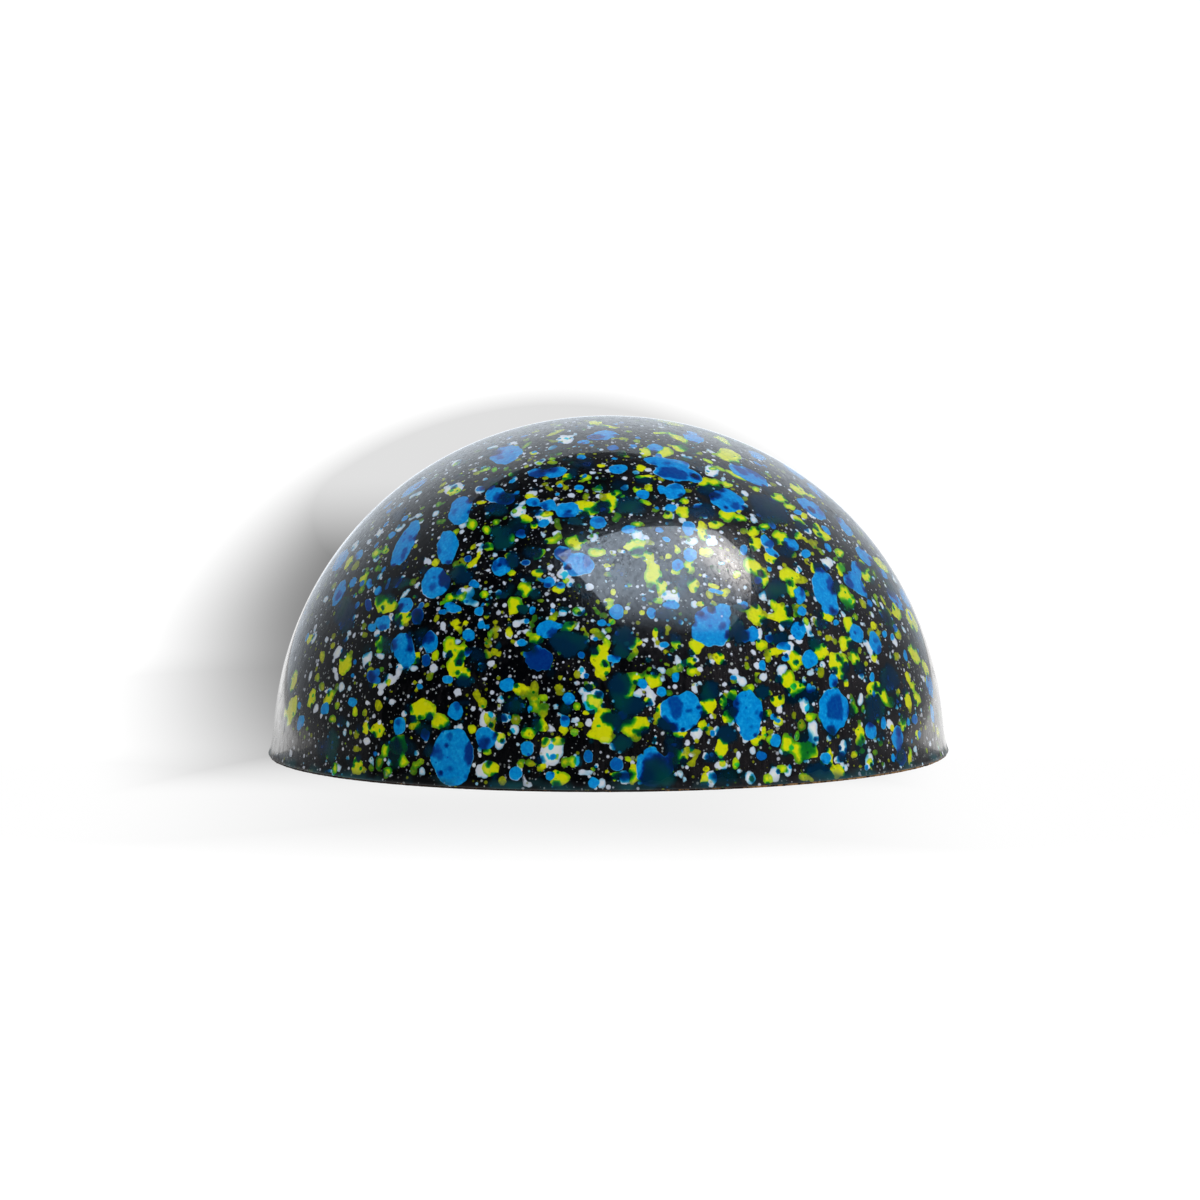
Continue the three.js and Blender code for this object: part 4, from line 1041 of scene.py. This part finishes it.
def thick_film(look):
    """How thick the film is that dulls every colour below it."""
    deeper = (attribute(look.tree, "blue_depth") - 1.0) * look.blue
    spot_edge = attribute(look.tree, "spot_edge") + look.fine * 0.06
    spots = spot_edge.ramp(-0.06, 0.12) * attribute(look.tree, "spot_depth") * 1.15 * look.blue
    drops = attribute(look.tree, "film") * (look.fine * 0.25 + 1.0)
    # It also pools just inside parts of the yellow and white edges, but not on blue
    pooled = look.yellow * look.yellow_edge.ramp(0.02, 0.15, 0.8, 0.0)
    pooled = pooled + look.white * look.white_edge.ramp(0.0, 0.08, 0.5, 0.0)
    off_blue = look.blue.ramp(0.0, 1.0, 1.0, 0.0)
    return deeper + spots + drops + pooled * look.pooling * off_blue


def with_blues(look, colour, thickness):
    """Lays bright see-through blue, on its pale backing, and then thick film over a colour."""
    backing = (0.6, 0.66, 0.95, 1)
    sliver = look.slow * 0.045 - 0.012
    colour = mixed(look.tree, (look.blue_edge + sliver).ramp(-CRISP, CRISP), colour, backing)
    film = look.blue * (look.mottle + 0.87) + look.teal * attribute(look.tree, "teal_depth") * 0.6
    film = film + look.speck * look.speck_kind.ramp(0.15, 0.17, 1.2, 0.0)
    # How strongly each film holds back red, green and blue
    bright_holds, thick_holds = (7.0, 0.86, 0.27), (4.0, 1.15, 0.6)
    passed = node(look.tree, "ShaderNodeCombineColor", None,
                  {part: (film * bright_holds[part] + thickness * thick_holds[part]).fading()
                   for part in range(3)}).out()
    return blended(look.tree, "MULTIPLY", 1.0, colour, passed)


def with_film_tint(look, colour, thickness):
    """Adds the navy, green or teal that thick film shows over the black, and the teal along the lip."""
    navy, green = (0.0, 0.024, 0.06, 1), (0.0, 0.055, 0.05, 1)
    thick_teal, lip_teal = (0.0, 0.06, 0.09, 1), (0.004, 0.07, 0.08, 1)
    tint = mixed(look.tree, (look.pooling * 1.4).smaller(1.0), navy, green)
    tint = mixed(look.tree, look.teal * 0.8, tint, thick_teal)
    shown = 1.0 - (attribute(look.tree, "navy") * 0.4 + thickness * 0.22 + look.teal * 0.8).fading()
    gathered = look.foot * (look.slow + 0.25).larger(0.0).smaller(0.8)
    return mixed(look.tree, gathered, blended(look.tree, "ADD", shown, colour, tint), lip_teal)


def skin_gloss(look):
    """The gloss: duller along the streaks, at the foot, and on thin wrinkles that lie in patches."""
    patches = (look.slow - 0.3).ramp(0.0, 0.35)
    for middle, reach in CREASED:
        away = node(look.tree, "ShaderNodeVectorMath", {"operation": "DISTANCE"},
                    {0: look.places, 1: middle})
        patches = patches.larger(away.out("Value").ramp(0.5 * reach, reach, 1.0, 0.0))
    folds = grain(look.tree, scaled_places(look.tree, (1, 1, 0.5)), 3.2, detail=3.0, roughness=0.6,
                  distortion=0.6)
    wrinkles = (folds - 0.5).positive().ramp(0.0, 0.045, 1.0, 0.0) * patches
    return look.streaks.ramp(0.42, 0.7, 1.0, 0.55) * (1.0 - wrinkles * 0.85) * (1.0 - look.foot * 0.8)


def painted_chocolate():
    """Glossy dark chocolate under layers of white, yellow and see-through blue droplets."""
    material, tree, surface = new_material("painted_chocolate")
    look = SkinLook(tree)
    glint = (0.85, 0.9, 0.9, 1)
    thickness = thick_film(look)
    colour = with_yellows(look, with_whites(look, shell_colour(look)))
    colour = with_blues(look, colour, thickness)
    colour = with_film_tint(look, colour, thickness)
    # Painted glints: a few specks made bright on top of everything
    mixed(tree, look.speck * look.speck_kind.ramp(0.982, 0.984), colour, glint).feed(surface, "Base Color")

    skin_gloss(look).feed(surface, "Coat Weight")
    (look.foot * 0.3 + 0.22).feed(surface, "Roughness")
    surface.inputs["IOR"].default_value = 1.46
    surface.inputs["Specular IOR Level"].default_value = 0.25
    surface.inputs["Coat IOR"].default_value = 1.5
    surface.inputs["Coat Roughness"].default_value = 0.035
    bump = node(tree, "ShaderNodeBump", None,
                {"Strength": 0.4, "Distance": 0.03 * MM, "Height": look.streaks})
    bump.out().feed(surface, "Normal")
    return material


# The closing layer's look

def bare_chocolate():
    """Satin dark chocolate, scraped along one way, with pale crumbs towards the right."""
    material, tree, surface = new_material("bare_chocolate")
    dark = (0.016, 0.007, 0.004, 1)
    warm = (0.5, 0.27, 0.1, 1)
    across, _, _ = in_parts(tree, scaled_places(tree))
    crumbly = across.ramp(-2.0, 9.0, -0.2, 0.25)
    crumbs = (wobble(tree, 0.25, height=0.7, detail=4.0) + 0.35 + crumbly).ramp(0.3, 0.9)
    mixed(tree, crumbs, dark, warm).feed(surface, "Base Color")
    surface.inputs["Roughness"].default_value = 0.55
    surface.inputs["Specular IOR Level"].default_value = 0.15
    drag = grain(tree, scaled_places(tree, (0.25, 3.0, 1.0)), 1.5, detail=5.0, roughness=0.65)
    bump = node(tree, "ShaderNodeBump", None, {"Strength": 0.6, "Distance": 0.08 * MM, "Height": drag})
    bump.out().feed(surface, "Normal")
    return material


# Studio

# The paper sweep's radius round the praline
SWEEP_RADIUS = 0.56


def make_studio():
    """A pale table and a sweep of paper round the back, both shining with painted light and shade, one soft
    box and dim surroundings.
    """
    scene = bpy.context.scene
    scene.view_settings.view_transform = "Standard"
    world = bpy.data.worlds.new("dim_room")
    world.use_nodes = True
    world.node_tree.nodes["Background"].inputs["Color"].default_value = (0.006, 0.006, 0.006, 1)
    scene.world = world

    table_width = 3
    deselect_all()
    bpy.ops.mesh.primitive_plane_add(size=table_width, location=(0, 0, BASE_LEVEL))
    table = bpy.context.object
    table.name = "table"
    table.data.materials.append(table_paper())
    make_sweep()
    make_window()


def shine(tree, surface, parts):
    """Makes a surface of the studio shine and nothing else, so that the picture takes less time: the paper's
    light and shade are painted into its glow.
    """
    surface.inputs["Base Color"].default_value = (0, 0, 0, 1)
    surface.inputs["Specular IOR Level"].default_value = 0.0
    node(tree, "ShaderNodeCombineColor", None, parts).out().feed(surface, "Emission Color")
    surface.inputs["Emission Strength"].default_value = 1.0


def make_window():
    """The window-shaped soft box: a level panel above the praline."""
    height = 0.32
    # Corners of the panel, across and back from the praline, in its height
    corners = ((-0.25, -0.25), (0.1, -0.95), (0.4, -1.0), (0.94, -0.75), (0.95, -0.34), (0.74, 0.02),
               (0.5, 0.1), (0.12, -0.07))
    deselect_all()
    bpy.ops.mesh.primitive_circle_add(vertices=len(corners), radius=height, fill_type="NGON")
    window = bpy.context.object
    window.name = "window_box"
    for vertex, (across, back) in zip(window.data.vertices, corners):
        vertex.co = (across * height, back * height, height)
    start_editing(window, "SELECT")
    bpy.ops.mesh.flip_normals()
    bpy.ops.object.mode_set(mode="OBJECT")
    window.data.materials.append(window_light(height))


def window_light(height):
    """The soft box's light, with its brightest place, a slanting streak, towards the right."""
    material, tree, surface = new_material("window_light")
    across, back, _ = in_parts(tree, node(tree, "ShaderNodeTexCoord").out("Object"))
    core_across, core_back = 0.65 * height, -0.11 * height
    core_length, core_width = 0.23 * height, 0.125 * height
    core_brightness = 13.0
    slant = math.radians(-19)
    along = (across - core_across) * math.cos(slant) + (back - core_back) * math.sin(slant)
    beside = (back - core_back) * math.cos(slant) - (across - core_across) * math.sin(slant)
    along, beside = along * (1 / core_length), beside * (1 / core_width)
    streak = (along * along + beside * beside).fading() * core_brightness
    veil = across.ramp(-0.2 * height, 0.85 * height, 5.4, 3.2)
    veil = veil * back.ramp(-0.25 * height, 0.2 * height, 1.0, 0.75)
    soft_front = back.ramp(-0.98 * height, -0.5 * height)
    soft_right = across.ramp(0.7 * height, 0.95 * height, 1.0, 0.5)
    veil = veil * soft_front * soft_right
    veil_hue, streak_hue = (0.8, 0.95, 1.13), (1.1, 1.0, 0.92)
    shine(tree, surface, {part: veil * veil_hue[part] + streak * streak_hue[part] for part in range(3)})
    return material


def make_sweep():
    """The curved paper behind the praline."""
    height = 0.68
    half_steps = 48
    front_edge = -0.02
    deselect_all()
    bpy.ops.mesh.primitive_cylinder_add(vertices=2 * half_steps, radius=SWEEP_RADIUS, depth=height,
                                        end_fill_type="NOTHING", location=(0, 0, height / 2))
    bpy.ops.object.transform_apply(location=True, rotation=True, scale=True)
    sweep = bpy.context.object
    sweep.name = "sweep"
    start_editing(sweep, "SELECT")
    bpy.ops.mesh.bisect(plane_co=(0, front_edge, 0), plane_no=(0, 1, 0), clear_inner=True)
    bpy.ops.mesh.select_all(action="SELECT")
    bpy.ops.mesh.flip_normals()
    bpy.ops.object.mode_set(mode="OBJECT")
    sweep.data.materials.append(sweep_paper())


def sweep_paper():
    """White paper that glows with painted light, brightest straight behind and dimming towards the sides."""
    material, tree, surface = new_material("sweep_paper")
    across, _, height = in_parts(tree, node(tree, "ShaderNodeTexCoord").out("Object"))
    sideways = (across * (1 / SWEEP_RADIUS) + 0.04).positive()
    behind = sideways.ramp(0.2, 0.72, 0.5, 0.0)
    beside = sideways.ramp(0.5, 1.0, 0.46, 0.11)
    low_down = height.ramp(0.1, 0.25, 0.62, 1.0)
    dimmer_above = height.ramp(0.16, 0.4, 1.0, 0.68)
    in_picture = height.ramp(0.036, 0.05, 1.3, 0.0) * sideways.ramp(0.15, 0.25, 1.0, 0.0)
    glow = (behind * dimmer_above + beside * low_down).larger(in_picture)
    hue = (0.92, 1.0, 1.09)
    shine(tree, surface, {part: glow * hue[part] for part in range(3)})
    return material


def table_paper():
    """White paper that shines, with a painted soft shadow behind the praline and at its left, and painted
    light and shade.
    """
    material, tree, surface = new_material("table_paper")
    places = node(tree, "ShaderNodeTexCoord").out("Object")
    away = node(tree, "ShaderNodeVectorMath", {"operation": "LENGTH"}, {0: places}).out("Value")
    sideways, deep, _ = in_parts(tree, places)
    # The painted shadow is a long oval, shorter towards the front
    shadow_across, shadow_back = -4 * MM, 85 * MM
    shadow_width, shadow_behind, shadow_before = 17 * MM, 162 * MM, 118 * MM
    shade, daylight = 0.19, 1.0
    across = (sideways - shadow_across) * (1 / shadow_width)
    along = ((deep - shadow_back) * (1 / shadow_behind)).larger((shadow_back - deep) * (1 / shadow_before))
    outward = (across * across + along * along).worked("SQRT")
    in_front = deep.ramp(-16 * MM, 16 * MM, 1.0, 0.0)
    paler_back = deep.ramp(60 * MM, 175 * MM, 0.0, 0.65)
    lit = outward.ramp(0.66, 1.36, shade, daylight).larger(in_front).larger(paler_back)
    # Painted light falls on a fan-shaped part of the table, with painted shade close to the praline
    fan = (sideways.positive() - deep * 0.12).ramp(32 * MM, 60 * MM, 1.0, 0.35)
    close_by = 0.855
    glow = away.ramp(22 * MM, 55 * MM, close_by, 1.15).larger(deep.ramp(-20 * MM, 5 * MM, close_by, 1.05))
    glow = glow.larger((sideways + 3 * MM).positive().ramp(4 * MM, 20 * MM, close_by, 1.0))
    glow = glow * (lit * fan)
    shine(tree, surface, {part: glow for part in range(3)})
    return material


# Assembly

camera = make_camera()
skin = make_dome_skin()
layer = make_closing_layer()
paint(skin, camera)
skin.data.materials.append(painted_chocolate())
layer.data.materials.append(bare_chocolate())
make_studio()

for piece, node_name, slot in ((skin, "painted_dome", "painted_chocolate"),
                               (layer, "closing_layer", "bare_chocolate")):
    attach(piece, "root")
    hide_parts(node_name)
